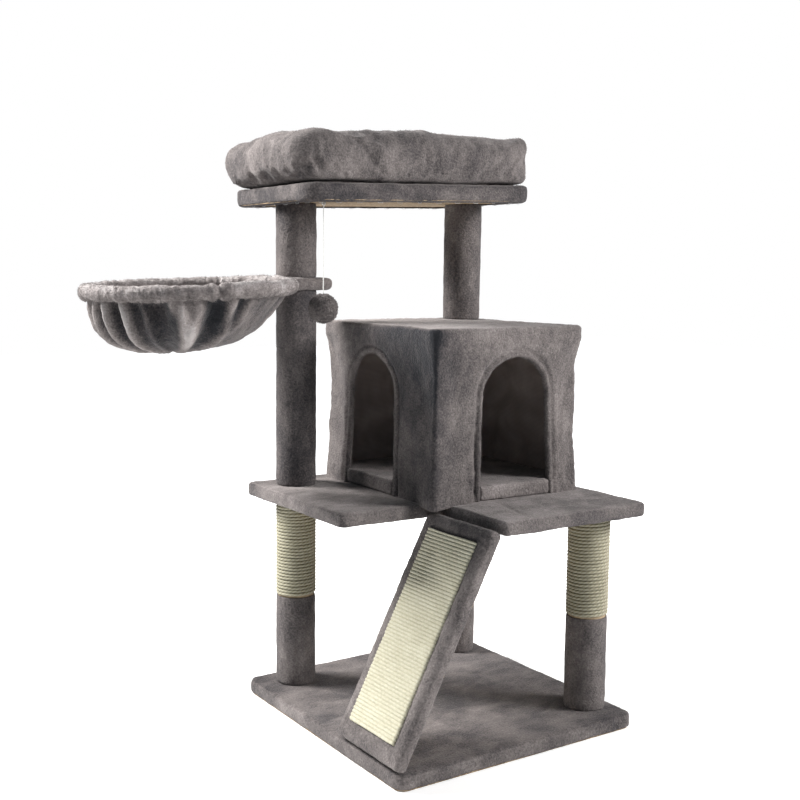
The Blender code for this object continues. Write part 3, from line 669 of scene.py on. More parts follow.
def make_light():
    area_light("left_softbox", (-1.62, 1.35, 2.10), aim=(-0.1, 0.0, 0.60), size=1.05, power=168.0,
               color=(1.0, 0.985, 0.965))
    area_light("right_softbox", (1.60, -1.65, 1.55), aim=(0.0, 0.0, 0.50), size=1.0, power=84.0,
               color=(1.0, 0.980, 0.965))
    world = bpy.data.worlds.new("studio")
    world.use_nodes = True
    tree = world.node_tree
    fill = tree.nodes["Background"]
    fill.inputs["Color"].default_value = (0.80, 0.92, 1.0, 1.0)
    fill.inputs["Strength"].default_value = 0.19
    seen = tree.nodes.new("ShaderNodeBackground")
    seen.inputs["Strength"].default_value = 1.0
    seen.inputs["Color"].default_value = (1.0, 1.0, 1.0, 1.0)
    path = tree.nodes.new("ShaderNodeLightPath")
    mix = tree.nodes.new("ShaderNodeMixShader")
    tree.links.new(path.outputs["Is Camera Ray"], mix.inputs["Fac"])
    tree.links.new(fill.outputs["Background"], mix.inputs[1])
    tree.links.new(seen.outputs["Background"], mix.inputs[2])
    tree.links.new(mix.outputs["Shader"], tree.nodes["World Output"].inputs["Surface"])
    bpy.context.scene.world = world
    bpy.context.scene.view_settings.view_transform = "Standard"


def make_floor():
    """A wide pale floor, lifted towards white away from the tree, so that the soft contact shadow shows."""
    material, tree, shader = new_material("pale_floor", 0.9, 0.1)
    shader.inputs["Base Color"].default_value = (0.82, 0.82, 0.82, 1.0)
    shader.inputs["Emission Color"].default_value = (1.0, 1.0, 1.0, 1.0)
    path = tree.nodes.new("ShaderNodeLightPath")
    centre = tree.nodes.new("ShaderNodeVectorMath")
    centre.operation = "LENGTH"
    tree.links.new(object_place(tree), centre.inputs[0])
    far = range_node(tree, centre.outputs["Value"], 0.36, 1.1, 0.40, 1.15)
    lift = math_node(tree, "MULTIPLY", path.outputs["Is Camera Ray"], far)
    tree.links.new(lift, shader.inputs["Emission Strength"])
    reach = (-9.0, 9.0)
    corners = ring_at(np.array(rectangle(reach, reach)), -0.0005)
    mesh = new_mesh("floor", corners, [(0, 1, 2, 3)], outward=False)
    mesh.materials.append(material)
    floor = bpy.data.objects.new("floor", mesh)
    bpy.context.scene.collection.objects.link(floor)


# ---------------------------------------------------------------- rope and string

def swept(path, up, radius, lobes, twist, sides, taper):
    """Twisted rope along a path: points, and each point's (along, round) place for the fibres."""
    ahead = np.gradient(path, axis=0)
    ahead /= np.linalg.norm(ahead, axis=1)[:, None]
    side = np.cross(ahead, up)
    side /= np.linalg.norm(side, axis=1)[:, None]
    over = np.cross(side, ahead)
    run = np.concatenate([[0.0], np.cumsum(np.linalg.norm(np.diff(path, axis=0), axis=1))])
    angle = 2.0 * math.pi * np.arange(sides) / sides
    turn = 2.0 * math.pi * run[:, None] / twist
    lobe = np.abs(np.cos((angle - turn) * lobes / 2.0))
    size = radius * (0.84 + 0.16 * lobe ** 0.8)
    ends = np.minimum(run, run[-1] - run)[:, None]
    size = size * clamp(0.4 + ends / taper)
    points = path[:, None] + size[..., None] * (
        np.cos(angle)[:, None] * side[:, None] + np.sin(angle)[:, None] * over[:, None]
    )
    strand = np.stack([
        np.broadcast_to(run[:, None] * 60.0, size.shape),
        (angle - turn) * 2.2,
        np.broadcast_to(run[:, None] * 9.0, size.shape),
    ], -1)
    # Painted shade: darker in the grooves between strands and where the rope meets its neighbouring turns, lighter
    # on the crowns.
    painted_gap_shade = 0.15 + 0.85 * clamp(np.abs(np.cos(angle))) ** 0.8 * lobe
    return points.reshape(-1, 3), strand.reshape(-1, 3), painted_gap_shade.ravel()


def store_tone_and_painted_light(mesh, tone):
    """Stores each point's tone, which the plush material reads: above 0 is lighter, below 0 darker. It carries
    random tone and painted light and shade.
    """
    field = mesh.attributes.new("tone_and_painted_light", "FLOAT", "POINT")
    field.data.foreach_set("value", np.asarray(tone).astype(np.float32).ravel())
    return mesh


def mark_fibre(mesh, strand, painted_gap_shade):
    """Stores each point's place along the fibre and its painted shade: low in the gaps between strands and ribs,
    which the material draws darker.
    """
    place = mesh.attributes.new("fibre", "FLOAT_VECTOR", "POINT")
    place.data.foreach_set("vector", strand.astype(np.float32).ravel())
    height = mesh.attributes.new("painted_gap_shade", "FLOAT", "POINT")
    height.data.foreach_set("value", painted_gap_shade.astype(np.float32).ravel())


def tube_mesh(name, points, rings, sides, outward=False):
    caps = (range(sides)[::-1], range((rings - 1) * sides, rings * sides))
    return new_mesh(name, points, grid_faces(rings, sides), caps, outward)


def sisal_wrap(name, finish, seed):
    """Rope wound up the tube from the plush sleeve to the platform, each turn slightly off true."""
    node = name + "_sisal_wrap"
    low, high = boxes[node]
    middle = (low + high) / 2.0
    wound = (high.x - low.x) / 2.0 - ROPE_RADIUS + 0.0006
    turns = (high.z - low.z - 2.0 * ROPE_RADIUS) / ROPE_PITCH
    sides = 9
    steps = int(turns * ROPE_STEPS_A_TURN)
    turn = 2.0 * math.pi * turns * np.arange(steps) / (steps - 1)
    height = low.z + 0.8 * ROPE_RADIUS + ROPE_PITCH * turn / (2.0 * math.pi)
    wander = np.stack([turn * 0.03, np.sin(turn) * 0.02, np.cos(turn) * 0.02], -1)
    radius = wound + 0.00035 * noise(wander, 0.02, seed)
    height = height + 0.00045 * noise(wander, 0.03, seed + 1)
    path = np.stack([middle.x + radius * np.cos(turn), middle.y + radius * np.sin(turn), height], -1)
    up = np.array([0.0, 0.0, 1.0])
    points, strand, painted_gap_shade = swept(path, up, ROPE_RADIUS, ROPE_STRANDS, ROPE_TWIST, sides, taper=0.004)
    mesh = tube_mesh(name + "_rope", points, steps, sides)
    mark_fibre(mesh, strand, painted_gap_shade)
    add_piece(name + "_rope", mesh, finish["sisal"], "tree", "sisal", node)


def toy_cord(finish):
    """White string, hanging straight under the ball's weight from its loop on the staple."""
    cord_low, cord_high = boxes["toy_cord"]
    x, y = (cord_low.x + cord_high.x) / 2.0, (cord_low.y + cord_high.y) / 2.0
    steps = 150
    sides = 8
    height = np.linspace(cord_high.z, cord_low.z, steps)
    path = np.stack([np.full(steps, x), np.full(steps, y), height], -1)
    up = np.array([1.0, 0.0, 0.0])
    points, _, _ = swept(path, up, CORD_RADIUS, CORD_STRANDS, CORD_TWIST, sides, taper=0.0005)
    mesh = tube_mesh("toy_string", points, steps, sides)
    string = add_piece("toy_string", mesh, finish["cord"], "toy", "cord", "toy_cord")
    route = [(x, y, z) for z in np.linspace(cord_high.z, cord_low.z, 20)]
    return string, route, cord_high.z - cord_low.z


# ---------------------------------------------------------------- boards and posts in plush

def plush_slab(name, outline, low, high, material, stands_for, seed, hem=0.0, shape=None, folds=(),
               matrix=None, under=0.0012, edges=(0.006, 0.004), voxel=VOXEL, tone=0.0, side_painted_light=0.0):
    """Plush drawn over a board's top and sides. With a hem, the underside shows a ragged strip of it."""
    bottom = low - (under if hem else 0.0)
    mesh = even_skin(rounded_slab(outline, bottom, high, *edges), voxel, 3)
    points = read_points(mesh)
    normals = read_normals(mesh)
    inward = edge_distance(points, outline)
    points = points + normals * board_relief(points, seed)[:, None]
    if shape is not None:
        points = shape(points, normals)
    points = creased(points, normals, folds)
    write_points(mesh, points)
    ragged = hem + 0.0035 * noise(points, 0.017, seed + 5) if hem else TURNED_UNDER
    doomed = (normals[:, 2] < -0.75) & (inward > ragged)
    # Painted light and shade: the top and the sides each get their own lightness, for how light falls on them; the
    # noise below is random tone.
    painted_top_and_side_light = np.where(normals[:, 2] < 0.75, side_painted_light, tone)
    store_tone_and_painted_light(mesh, painted_top_and_side_light + 0.55 * noise(points, 0.060, seed + 6) + 0.35 * noise(points, 0.022, seed + 7))
    mesh = thickened(delete_where(mesh, doomed), COVER_CLOTH)
    if matrix is not None:
        placed(mesh, matrix)
    return add_piece(name, mesh, material, "tree", "plush", stands_for)


def post_sleeve(name, node, finish, seed, tone):
    """Plush drawn round the tube: sewn up its far side, with the ends tucked in."""
    low, high = boxes[node]
    middle = (low + high) / 2.0
    radius = (high.x - low.x) / 2.0
    columns = 96
    count = max(12, int((high.z - low.z) / 0.0030))
    level = np.linspace(0.0, 1.0, count)
    height = low.z + (high.z - low.z) * level
    end = np.minimum(height - low.z, high.z - height)
    tuck = 0.0010 * np.exp(-end / 0.0030)
    rows = [(height, radius - 0.0002 - tuck)]
    rows.append((height[::-1], np.full(count, radius - PLUSH + 0.0004)))
    turn = 2.0 * math.pi * np.arange(columns) / columns
    centre = np.array([middle.x, middle.y])
    circle = np.stack([np.cos(turn), np.sin(turn)], -1)
    points = [ring_at(centre + r * circle, z) for heights, radii in rows for z, r in zip(heights, radii)]
    points = np.concatenate(points)
    outer = np.arange(len(points)) < count * columns
    out = points - np.array([middle.x, middle.y, 0.0])
    out[:, 2] = 0.0
    out /= np.linalg.norm(out, axis=1)[:, None]
    stretched = points * np.array([1.0, 1.0, 0.6])
    relief = plush_relief(stretched, seed, 0.0007, 0.0006, 0.00045)
    across = np.arctan2(out[:, 1], out[:, 0]) - SLEEVE_SEAM
    across = np.abs((across + math.pi) % (2.0 * math.pi) - math.pi) * radius
    relief += 0.0008 * bell(across - 0.0045, 0.003) - 0.0021 * bell(across, 0.0022)
    points += out * np.where(outer, relief, 0.0)[:, None]
    if high.z > PERCH_PIVOT[2] - 0.01:
        slope = (points[:, 0] - middle.x + radius) * math.tan(PERCH_TILT)
        points[:, 2] += slope * clamp((points[:, 2] - high.z + 0.030) / 0.030)
    mesh = new_mesh(name, points, grid_faces(2 * count, columns, wrap_rows=True))
    # The post's tone is painted shade, darker for the posts that stand in shade, plus random tone.
    store_tone_and_painted_light(mesh, tone + 0.45 * noise(points, 0.050, seed + 7))
    add_piece(name, mesh, finish["plush"], "tree", "plush", node)


def corner_creases(outline, low, high, seed):
    """Small folds where the cover is pulled round each corner of the board."""
    chance = np.random.default_rng(seed)
    folds = []
    for x, y in outline:
        for _ in range(2):
            lean = chance.uniform(-0.006, 0.006)
            start = (x + lean, y + lean, low)
            stop = (x * 0.985 + lean, y * 0.985 - lean, high + 0.001)
            folds.append((start, stop, chance.uniform(0.0006, 0.0014), chance.uniform(0.002, 0.0035)))
    return folds


def base_cover(finish):
    low, high = boxes["base_cover"]
    corners = rectangle((low.x, high.x), (low.y, high.y))
    outline = rounded_outline(corners, BASE_CORNER)
    folds = corner_creases(corners, low.z, high.z, 11)
    # Painted shade: the base's top drawn darker than its sides, as shaded from above.
    plush_slab("base_plush", outline, low.z, high.z, finish["plush_level"], "base_cover", 21,
               folds=folds, tone=-0.6, side_painted_light=-0.2)


def platform_corners():
    """The platform's L, with its notch at the near corner."""
    low, high = boxes["platform_cover"]
    return [(NOTCH[0], low.y), (high.x, low.y), (high.x, high.y), (low.x, high.y), (low.x, NOTCH[1]), NOTCH]


def platform_cover(finish):
    low, high = boxes["platform_cover"]
    corners = platform_corners()
    folds = corner_creases(corners[:5], low.z, high.z, 12)
    folds += [
        ((-0.150, -0.072, high.z), (-0.205, 0.010, high.z), 0.0016, 0.004),
        ((-0.120, -0.060, high.z), (-0.160, -0.020, high.z), 0.0012, 0.004),
        ((0.005, -0.255, high.z), (0.030, -0.150, high.z), 0.0018, 0.005),
        ((0.060, -0.240, high.z), (0.110, -0.160, high.z), 0.0010, 0.006),
        ((0.150, -0.245, high.z), (0.215, -0.150, high.z), 0.0010, 0.005),
    ]
    outline = rounded_outline(corners, PLATFORM_CORNER)
    # Painted light and shade: the platform's top drawn lighter, its sides darker.
    plush_slab("platform_plush", outline, low.z, high.z, finish["plush_level"], "platform_cover", 31,
               hem=PLATFORM_HEM, folds=folds, tone=0.3, side_painted_light=-0.3)


def ramp_matrix():
    return Matrix.Translation(RAMP_FOOT) @ Matrix.Rotation(-RAMP_SLOPE, 4, "Y")


def ramp_corners():
    return rectangle((0.0, RAMP_LENGTH), (-RAMP_HALF_WIDTH, RAMP_HALF_WIDTH))


def ramp_pieces(finish):
    """Plush-edged ramp: the pile stands raised round the mat, and folds over at the top near corner."""
    mat_middle = MAT_START + MAT_LENGTH / 2.0
    folds = corner_creases(ramp_corners(), -RAMP_THICKNESS, 0.0, 13)
    folds += [
        ((0.372, -0.090, 0.0), (0.384, -0.060, 0.0), 0.0030, 0.0028),
        ((0.363, -0.091, 0.0), (0.370, -0.066, 0.0), 0.0022, 0.0025),
        ((0.390, -0.088, 0.0), (0.392, -0.030, 0.0), 0.0014, 0.0030),
    ]

    def shape(points, normals):
        beyond = np.maximum(
            np.abs(points[:, 0] - mat_middle) - MAT_LENGTH / 2.0,
            np.abs(points[:, 1]) - MAT_HALF_WIDTH,
        )
        upper = points[:, 2] > -0.004
        border = bell(beyond - 0.012, 0.011) * 0.0030
        bed = -0.0022 * (beyond < 0.0)
        return points + np.where(upper, border + bed, 0.0)[:, None] * np.array([0.0, 0.0, 1.0])

    outline = rounded_outline(ramp_corners(), RAMP_CORNER)
    border = plush_slab("ramp_plush", outline, -RAMP_THICKNESS, 0.0, finish["plush"], "ramp_cover", 41,
                        hem=RAMP_HEM, shape=shape, folds=folds, matrix=ramp_matrix(), edges=(0.007, 0.005),
                        voxel=0.0030)
    standing_pile("ramp_pile", border.data, finish, "tree", count=9000, seed=45, length=0.0030)
    ramp_mat(finish)


def ramp_mat(finish):
    """Woven sisal mat: thick weft cords side by side, each bound down by the warp every few millimetres."""
    along_step = RIB_PITCH / 9.0
    across_step = 0.0016
    rows = int(MAT_LENGTH / along_step) + 1
    columns = int(2.0 * MAT_HALF_WIDTH / across_step) + 1
    x = MAT_START + np.arange(rows) * along_step
    y = np.linspace(-MAT_HALF_WIDTH, MAT_HALF_WIDTH, columns)
    xs, ys = np.meshgrid(x, y, indexing="ij")
    flat = np.stack([xs.ravel(), ys.ravel(), np.zeros(xs.size)], -1)
    xs = xs + 0.0011 * noise(flat, 0.060, 51).reshape(xs.shape)
    rib = (xs - MAT_START) / RIB_PITCH
    number = np.floor(rib)
    rounded = np.sqrt(np.abs(np.sin(math.pi * rib)))
    knot = np.abs(np.sin(math.pi * (ys / 0.0105 + 0.5 * number)))
    rough = 0.00045 * noise(flat, 0.0034, 52).reshape(xs.shape)
    height = 0.0012 + rounded * (0.0032 + 0.0005 * knot) + rough
    each_rib = np.stack([number.ravel() * 0.01, ys.ravel() * 0.0, ys.ravel() * 0.0], -1)
    ragged = 0.0016 * rounded + 0.0007 * noise(each_rib, 0.004, 53).reshape(xs.shape)
    ys = ys * (1.0 + ragged / MAT_HALF_WIDTH)
    edge = np.minimum(y + MAT_HALF_WIDTH, MAT_HALF_WIDTH - y)[None, :]
    height = height * clamp(0.30 + edge / 0.003)
    top = np.stack([xs.ravel(), ys.ravel(), height.ravel()], -1)
    mesh = new_mesh("ramp_mat", top, grid_faces(rows, columns, wrap_columns=False), outward=False)
    strand = np.stack([ys.ravel() * 70.0, rib.ravel() * 6.0, number.ravel() * 3.1], -1)
    # Painted shade: darker in the gaps between ribs, lighter on the rib crowns and a little more where they bulge
    # between ties.
    painted_gap_shade = 0.25 + 0.95 * clamp(rounded - 0.25) * (0.86 + 0.20 * knot)
    mark_fibre(mesh, strand, painted_gap_shade.ravel())
    mesh = thickened(mesh, MAT_CLOTH)
    placed(mesh, ramp_matrix())
    add_piece("ramp_mat", mesh, finish["sisal_mat"], "tree", "sisal", "ramp_sisal_mat")


def perch_matrix():
    """The perch leans a little: its frame rises towards +X from above the toy's staple."""
    return Matrix.Translation(PERCH_PIVOT) @ Matrix.Rotation(-PERCH_TILT, 4, "Y")


def perch_outline(grow, shift=0.0, steps=8):
    low_x, high_x = PERCH_X
    low_y, high_y = PERCH_Y
    corners = rectangle((low_x - grow - shift, high_x + grow - shift), (low_y - grow, high_y + grow))
    return rounded_outline(corners, max(PERCH_CORNER + grow, 0.008), steps)


def perch_tray(finish):
    def shape(points, normals):
        side = np.abs(normals[:, 2]) < 0.75
        wave = 0.0010 * noise(points * np.array([1.0, 1.0, 0.3]), 0.030, 63)
        return points + normals * np.where(side, 0.0006 + wave, 0.0)[:, None]

    material = finish["plush_level"]
    # Painted shade: the tray's sides drawn much darker.
    plush_slab("perch_tray_plush", perch_outline(0.0), 0.0, PERCH_HEIGHT, material, "perch_cover", 61,
               hem=PERCH_HEM, shape=shape, matrix=perch_matrix(), under=0.0026, edges=(0.007, 0.010),
               voxel=0.0030, side_painted_light=-0.9)


# ---------------------------------------------------------------- condo

def wall_pull(z, low, high):
    """How far the soft walls draw in: slightly at the foot, most under the roof's edge."""
    share = clamp((z - low) / (high - low))
    rise = np.sin(math.pi / 2.0 * np.minimum(share / WALL_PULL_PEAK, 1.0))
    lower = WALL_PULL_AT_FOOT + (WALL_PULL - WALL_PULL_AT_FOOT) * rise
    above = clamp((share - WALL_PULL_PEAK) / (1.0 - WALL_PULL_PEAK))
    upper = WALL_PULL * np.cos(math.pi / 2.0 * above)
    return np.where(share < WALL_PULL_PEAK, lower, upper)


def even_outline(outline, spacing):
    """The same closed outline with points an even distance apart."""
    closed = np.array(list(outline) + [outline[0]])
    run = np.concatenate([[0.0], np.cumsum(np.linalg.norm(np.diff(closed, axis=0), axis=1))])
    count = int(run[-1] / spacing)
    at = run[-1] * np.arange(count) / count
    return np.stack([np.interp(at, run, closed[:, 0]), np.interp(at, run, closed[:, 1])], -1)


def outline_normals(loop):
    ahead = np.roll(loop, -1, 0) - np.roll(loop, 1, 0)
    ahead /= np.linalg.norm(ahead, axis=1)[:, None]
    return np.stack([ahead[:, 1], -ahead[:, 0]], -1)


def arch_half_width(z, low):
    """Half the doorway's width at each height; negative above its top."""
    spring = ARCH_TOP - ARCH_HALF_WIDTH
    straight = ARCH_HALF_WIDTH + ARCH_FLARE * clamp((spring - z) / (spring - low))
    rise = np.clip(z - spring, 0.0, None)
    curved = np.sqrt(np.clip(ARCH_HALF_WIDTH ** 2 - rise ** 2, 0.0, None))
    return np.where(z < spring, straight, np.where(rise < ARCH_HALF_WIDTH, curved, -1.0))


def arch_distance(side, z, low):
    """Distance outside a doorway's edge in the plane of its wall, negative inside."""
    spring = ARCH_TOP - ARCH_HALF_WIDTH
    above = np.hypot(side, z - spring) - ARCH_HALF_WIDTH
    return np.where(z < spring, np.abs(side) - arch_half_width(np.minimum(z, spring - 1e-6), low), above)


def in_doorways(points, low, corner, reach):
    """Which points of the two near walls lie inside a doorway's seam."""
    front = arch_distance(points[:, 0] - FRONT_ARCH_X, points[:, 2], low) < DOOR_HEM
    left = arch_distance(points[:, 1] - LEFT_ARCH_Y, points[:, 2], low) < DOOR_HEM
    return front & (points[:, 1] < corner.y + reach) | left & (points[:, 0] < corner.x + reach)


def condo_walls(finish):
    """Soft walls and roof in one cover: drawn in between floor and roof, and rolled over the roof board."""
    low, high = boxes["condo_wall_skin"][0].z, boxes["condo_roof_cover"][0].z
    roof_low, roof_high = boxes["condo_roof_cover"]
    corners = rectangle((roof_low.x, roof_high.x), (roof_low.y, roof_high.y))
    loop = even_outline(rounded_outline(corners, CONDO_CORNER), CONDO_SPACING)
    out = outline_normals(loop)
    roll = CONDO_ROLL
    rows = []
    for z in np.arange(low - 0.003, roof_high.z - roll, CONDO_SPACING):
        tuck = 0.0022 * math.exp(-max(z - low + 0.003, 0.0) / 0.002)
        over = 0.0012 * float(clamp((high + 0.002 - z) / 0.006))
        rows.append((over + float(wall_pull(z, low, high)) * (z > low) + tuck, z))
    for step in range(1, 7):
        turn = math.pi / 2.0 * step / 6
        rows.append((roll * (1.0 - math.cos(turn)), roof_high.z - roll + roll * math.sin(turn)))
    points = [ring_at(loop - out * inset, z) for inset, z in rows]
    centre = (np.array(corners[0]) + np.array(corners[2])) / 2.0
    last = points[-1][:, :2]
    count = 18
    for step in range(1, count + 1):
        share = step / (count + 1)
        points.append(ring_at(last + (centre - last) * share, roof_high.z))
    faces = grid_faces(len(points), len(loop))
    points = np.concatenate(points)
    cap = range(len(points) - len(loop), len(points))
    mesh = new_mesh("condo_skin", points, faces, [cap], outward=False)
    normals = read_normals(mesh)
    if (normals[: len(loop) * 10, :2] * np.tile(out, (10, 1))).sum() < 0.0:
        mesh.flip_normals()
        normals = read_normals(mesh)
    soft = clamp((high - points[:, 2]) / 0.012)
    relief = plush_relief(points * np.array([1.0, 1.0, 0.7]), 71, 0.0016, 0.0009, 0.0006)
    points = points + normals * np.where(soft > 0.0, relief * soft, 0.0)[:, None]
    points = points + normals * ((1.0 - soft) * board_relief(points, 72))[:, None]
    points = wall_folds(points, normals, low, high, roof_low, roof_high)
    points = doorway_edges(points, normals, low, roof_low)
    write_points(mesh, points)
    open_points = in_doorways(points, low, roof_low, 0.03) & (points[:, 2] < high)
    store_tone_and_painted_light(mesh, condo_tone_and_painted_light(points, normals, roof_low))
    mesh = thickened(delete_where(mesh, open_points), CONDO_CLOTH)
    covers = ("condo_wall_skin", "condo_roof_cover")
    skin = add_piece("condo_skin", mesh, finish["plush"], "tree", "plush", *covers)


def condo_tone_and_painted_light(points, normals, roof_low):
    """The cover's tone: random tone, painted shade on both walls beside the near corner, strongest up high, and
    painted light on the roof.
    """
    x, y, z = points.T
    left_wall = clamp(-normals[:, 0]) * bell(y - roof_low.y, 0.210)
    front_wall = clamp(-normals[:, 1]) * bell(x - roof_low.x, 0.060)
    upper = clamp((z - 0.50) / 0.12)
    roof = clamp(normals[:, 2]) ** 3
    tone = 0.40 * noise(points, 0.075, 78) + 0.25 * noise(points, 0.026, 79) + 1.1 * roof
    return tone - (0.8 + 1.5 * upper) * left_wall - (0.6 + 0.9 * upper) * front_wall


def doorway_edges(points, normals, low, roof_low):
    """The sewn line round each doorway: the wall dips into the seam and swells a little beside it."""
    for along, across, place in ((0, 1, FRONT_ARCH_X), (1, 0, LEFT_ARCH_Y)):
        away = arch_distance(points[:, along] - place, points[:, 2], low)
        near = points[:, across] < (roof_low.x if across == 0 else roof_low.y) + 0.03
        seam = -0.0034 * bell(away - 0.0118, 0.0026)
        swell = 0.0016 * bell(away - 0.021, 0.006) * (0.6 + 0.8 * noise(points, 0.016, 76))
        points = points + normals * np.where(near, seam + swell, 0.0)[:, None]
    return points


def wall_folds(points, normals, low, high, roof_low, roof_high):
    """Drag lines down from the roof's corners, dents beside the doorways and rough corner seams."""
    front, left = roof_low.y, roof_low.x
    right, back = roof_high.x, roof_high.y
    near, far, inner = front + 0.005, front + 0.010, left + 0.012
    folds = [
        ((left + 0.030, near, high - 0.010), (left + 0.075, far, low + 0.150), 0.0024, 0.016),
        ((left + 0.050, near, high - 0.055), (left + 0.052, far, low + 0.060), 0.0020, 0.014),
        ((right - 0.012, near + 0.001, high), (right - 0.050, far, low + 0.140), 0.0022, 0.014),
        ((right - 0.030, near + 0.001, low + 0.020), (right - 0.020, far, low + 0.130), 0.0022, 0.012),
        ((left + 0.004, front + 0.060, high - 0.020), (inner, front + 0.030, low + 0.100), 0.0022, 0.016),
        ((left + 0.005, back - 0.030, high), (inner, back - 0.050, low + 0.120), 0.0024, 0.016),
        ((right - 0.010, 0.020, high), (right - 0.014, -0.060, low + 0.100), 0.0026, 0.018),
        ((0.000, back - 0.010, high), (0.060, back - 0.012, low + 0.100), 0.0026, 0.018),
    ]
    points = creased(points, normals, folds)
    middle = np.array([left + right, front + back]) / 2.0
    for corner in ((left, front), (left, back), (right, front), (right, back)):
        inward = np.sign(middle - np.array(corner))
        spot = np.array(corner) + inward * (CONDO_CORNER * (1.0 - math.sqrt(0.5)) + 0.0015)
        pull = wall_pull(points[:, 2], low, high)
        away = points[:, :2] - spot - inward * pull[:, None] * 0.71
        away = np.abs(away @ np.array([inward[1], -inward[0]])) / math.sqrt(2.0)
        close = (np.linalg.norm(points[:, :2] - spot, axis=1) < 0.035) & (points[:, 2] < high + 0.012)
        ragged = 0.0006 + 0.0008 * noise(points, 0.0075, 75) + 0.0010 * noise(points, 0.030, 77)
        points = points + normals * np.where(close, ragged * bell(away, 0.0060), 0.0)[:, None]
    over_notch = (points[:, 0] < NOTCH[0] - 0.004) & (points[:, 1] < NOTCH[1] - 0.004)
    droop = np.exp(-np.linalg.norm(points[:, :2] - np.array([left, front]), axis=1) / 0.020)
    droop = 0.0085 * droop * np.exp(-np.maximum(points[:, 2] - low, 0.0) / 0.012)
    points[:, 2] -= np.where(over_notch, droop, 0.0)
    return points


def condo_liner(finish):
    """Woven backing on the inside of the four walls."""
    skin_low, skin_high = boxes["condo_wall_skin"]
    low, high = boxes["condo_wall_liner"]
    corners = rectangle((skin_low.x, skin_high.x), (skin_low.y, skin_high.y))
    loop = even_outline(rounded_outline(corners, CONDO_CORNER), LINER_SPACING)
    out = outline_normals(loop)
    rows = []
    for z in np.arange(low.z, high.z + 0.001, LINER_SPACING):
        rows.append(ring_at(loop - out * (LINER_INSET + float(wall_pull(z, low.z, high.z))), z))
    points = np.concatenate(rows)
    points[:, :2] += np.tile(out, (len(rows), 1)) * (0.0009 * noise(points, 0.050, 81))[:, None]
    mesh = new_mesh("condo_liner", points, grid_faces(len(rows), len(loop)), outward=False)
    mesh = thickened(delete_where(mesh, in_doorways(points, low.z, skin_low, 0.035)), LINER_CLOTH, 0.0)
    liner = add_piece("condo_liner", mesh, finish["liner"], "tree", "liner", "condo_wall_liner")


def arch_route(low):
    """Doorway line as (sideways, height), from one foot over the top to the other."""
    spring = ARCH_TOP - ARCH_HALF_WIDTH
    rising = np.arange(low, spring, 0.0028)
    right = [(float(arch_half_width(np.array(z), low)), z) for z in rising]
    over = []
    for step in range(70):
        turn = math.pi * step / 69
        over.append((ARCH_HALF_WIDTH * math.cos(turn), spring + ARCH_HALF_WIDTH * math.sin(turn)))
    return np.array(right + over + [(-side, z) for side, z in reversed(right)])


def door_trim(name, place, node, finish, low, high, seed):
    """Rolled binding round a doorway: fuller towards the opening, gathered round the curve."""
    route = arch_route(low)
    ahead = np.gradient(route, axis=0)
    ahead /= np.linalg.norm(ahead, axis=1)[:, None]
    outward = np.stack([ahead[:, 1], -ahead[:, 0]], -1)
    sides = 20
    rings = []
    for (side, z), (out_side, out_z) in zip(route, outward):
        pull = float(wall_pull(z, low, high))
        for step in range(sides):
            turn = 2.0 * math.pi * step / sides
            wide = ARCH_TRIM * 0.5 * (1.0 + math.cos(turn)) - 0.0012
            deep = 0.0058 * math.sin(turn) - 0.0026 - pull
            rings.append(place(side + out_side * wide, deep, z + out_z * wide))
    points = np.array(rings)
    mesh = tube_mesh(name, points, len(route), sides, outward=True)
    normals = read_normals(mesh)
    relief = 0.0008 * noise(points, 0.013, seed) + 0.0009 * noise(points, 0.0048, seed + 1)
    write_points(mesh, points + normals * relief[:, None])
    add_piece(name, mesh, finish["plush"], "tree", "plush", node)
    standing_pile(name + "_pile", mesh, finish, "tree", count=7000, seed=seed + 2, length=0.0032)


def condo_floor(finish):
    """Plush floor, its edge carried out through both doorways to lie flush with the walls."""
    low, high = boxes["condo_floor_cover"]
    skin_low = boxes["condo_wall_skin"][0]
    door = ARCH_HALF_WIDTH + ARCH_FLARE - 0.001
    front, left = skin_low.y + 0.0005, skin_low.x + 0.0005
    outline = [
        (low.x, low.y),
        (FRONT_ARCH_X - door, low.y),
        (FRONT_ARCH_X - door, front),
        (FRONT_ARCH_X + door, front),
        (FRONT_ARCH_X + door, low.y),
        (high.x, low.y),
        (high.x, high.y),
        (low.x, high.y),
        (low.x, LEFT_ARCH_Y + door),
        (left, LEFT_ARCH_Y + door),
        (left, LEFT_ARCH_Y - door),
        (low.x, LEFT_ARCH_Y - door),
    ]
    plush_slab("condo_floor_plush", outline, low.z, high.z, finish["plush_level"], "condo_floor_cover", 91)


def in_front_wall(side, out, height):
    return (FRONT_ARCH_X + side, boxes["condo_wall_skin"][0].y - out, height)


def in_left_wall(side, out, height):
    return (boxes["condo_wall_skin"][0].x - out, LEFT_ARCH_Y - side, height)


def condo(finish):
    low, high = boxes["condo_wall_skin"]
    condo_walls(finish)
    condo_liner(finish)
    door_trim("condo_front_binding", in_front_wall, "condo_front_trim", finish, low.z, high.z, 101)
    door_trim("condo_left_binding", in_left_wall, "condo_left_trim", finish, low.z, high.z, 105)
    condo_floor(finish)


# ---------------------------------------------------------------- hammock

def hammock_axis():
    """The swivel's place, the bowl's middle, and the turn from the bowl towards the swivel."""
    pivot = next(joint["pos_m"] for joint in frame["joints"] if joint["name"] == "hammock_swivel")
    bowl_low, bowl_high = boxes["hammock_bowl"]
    middle = (bowl_low + bowl_high) / 2.0
    return pivot, middle, math.atan2(pivot[1] - middle.y, pivot[0] - middle.x)


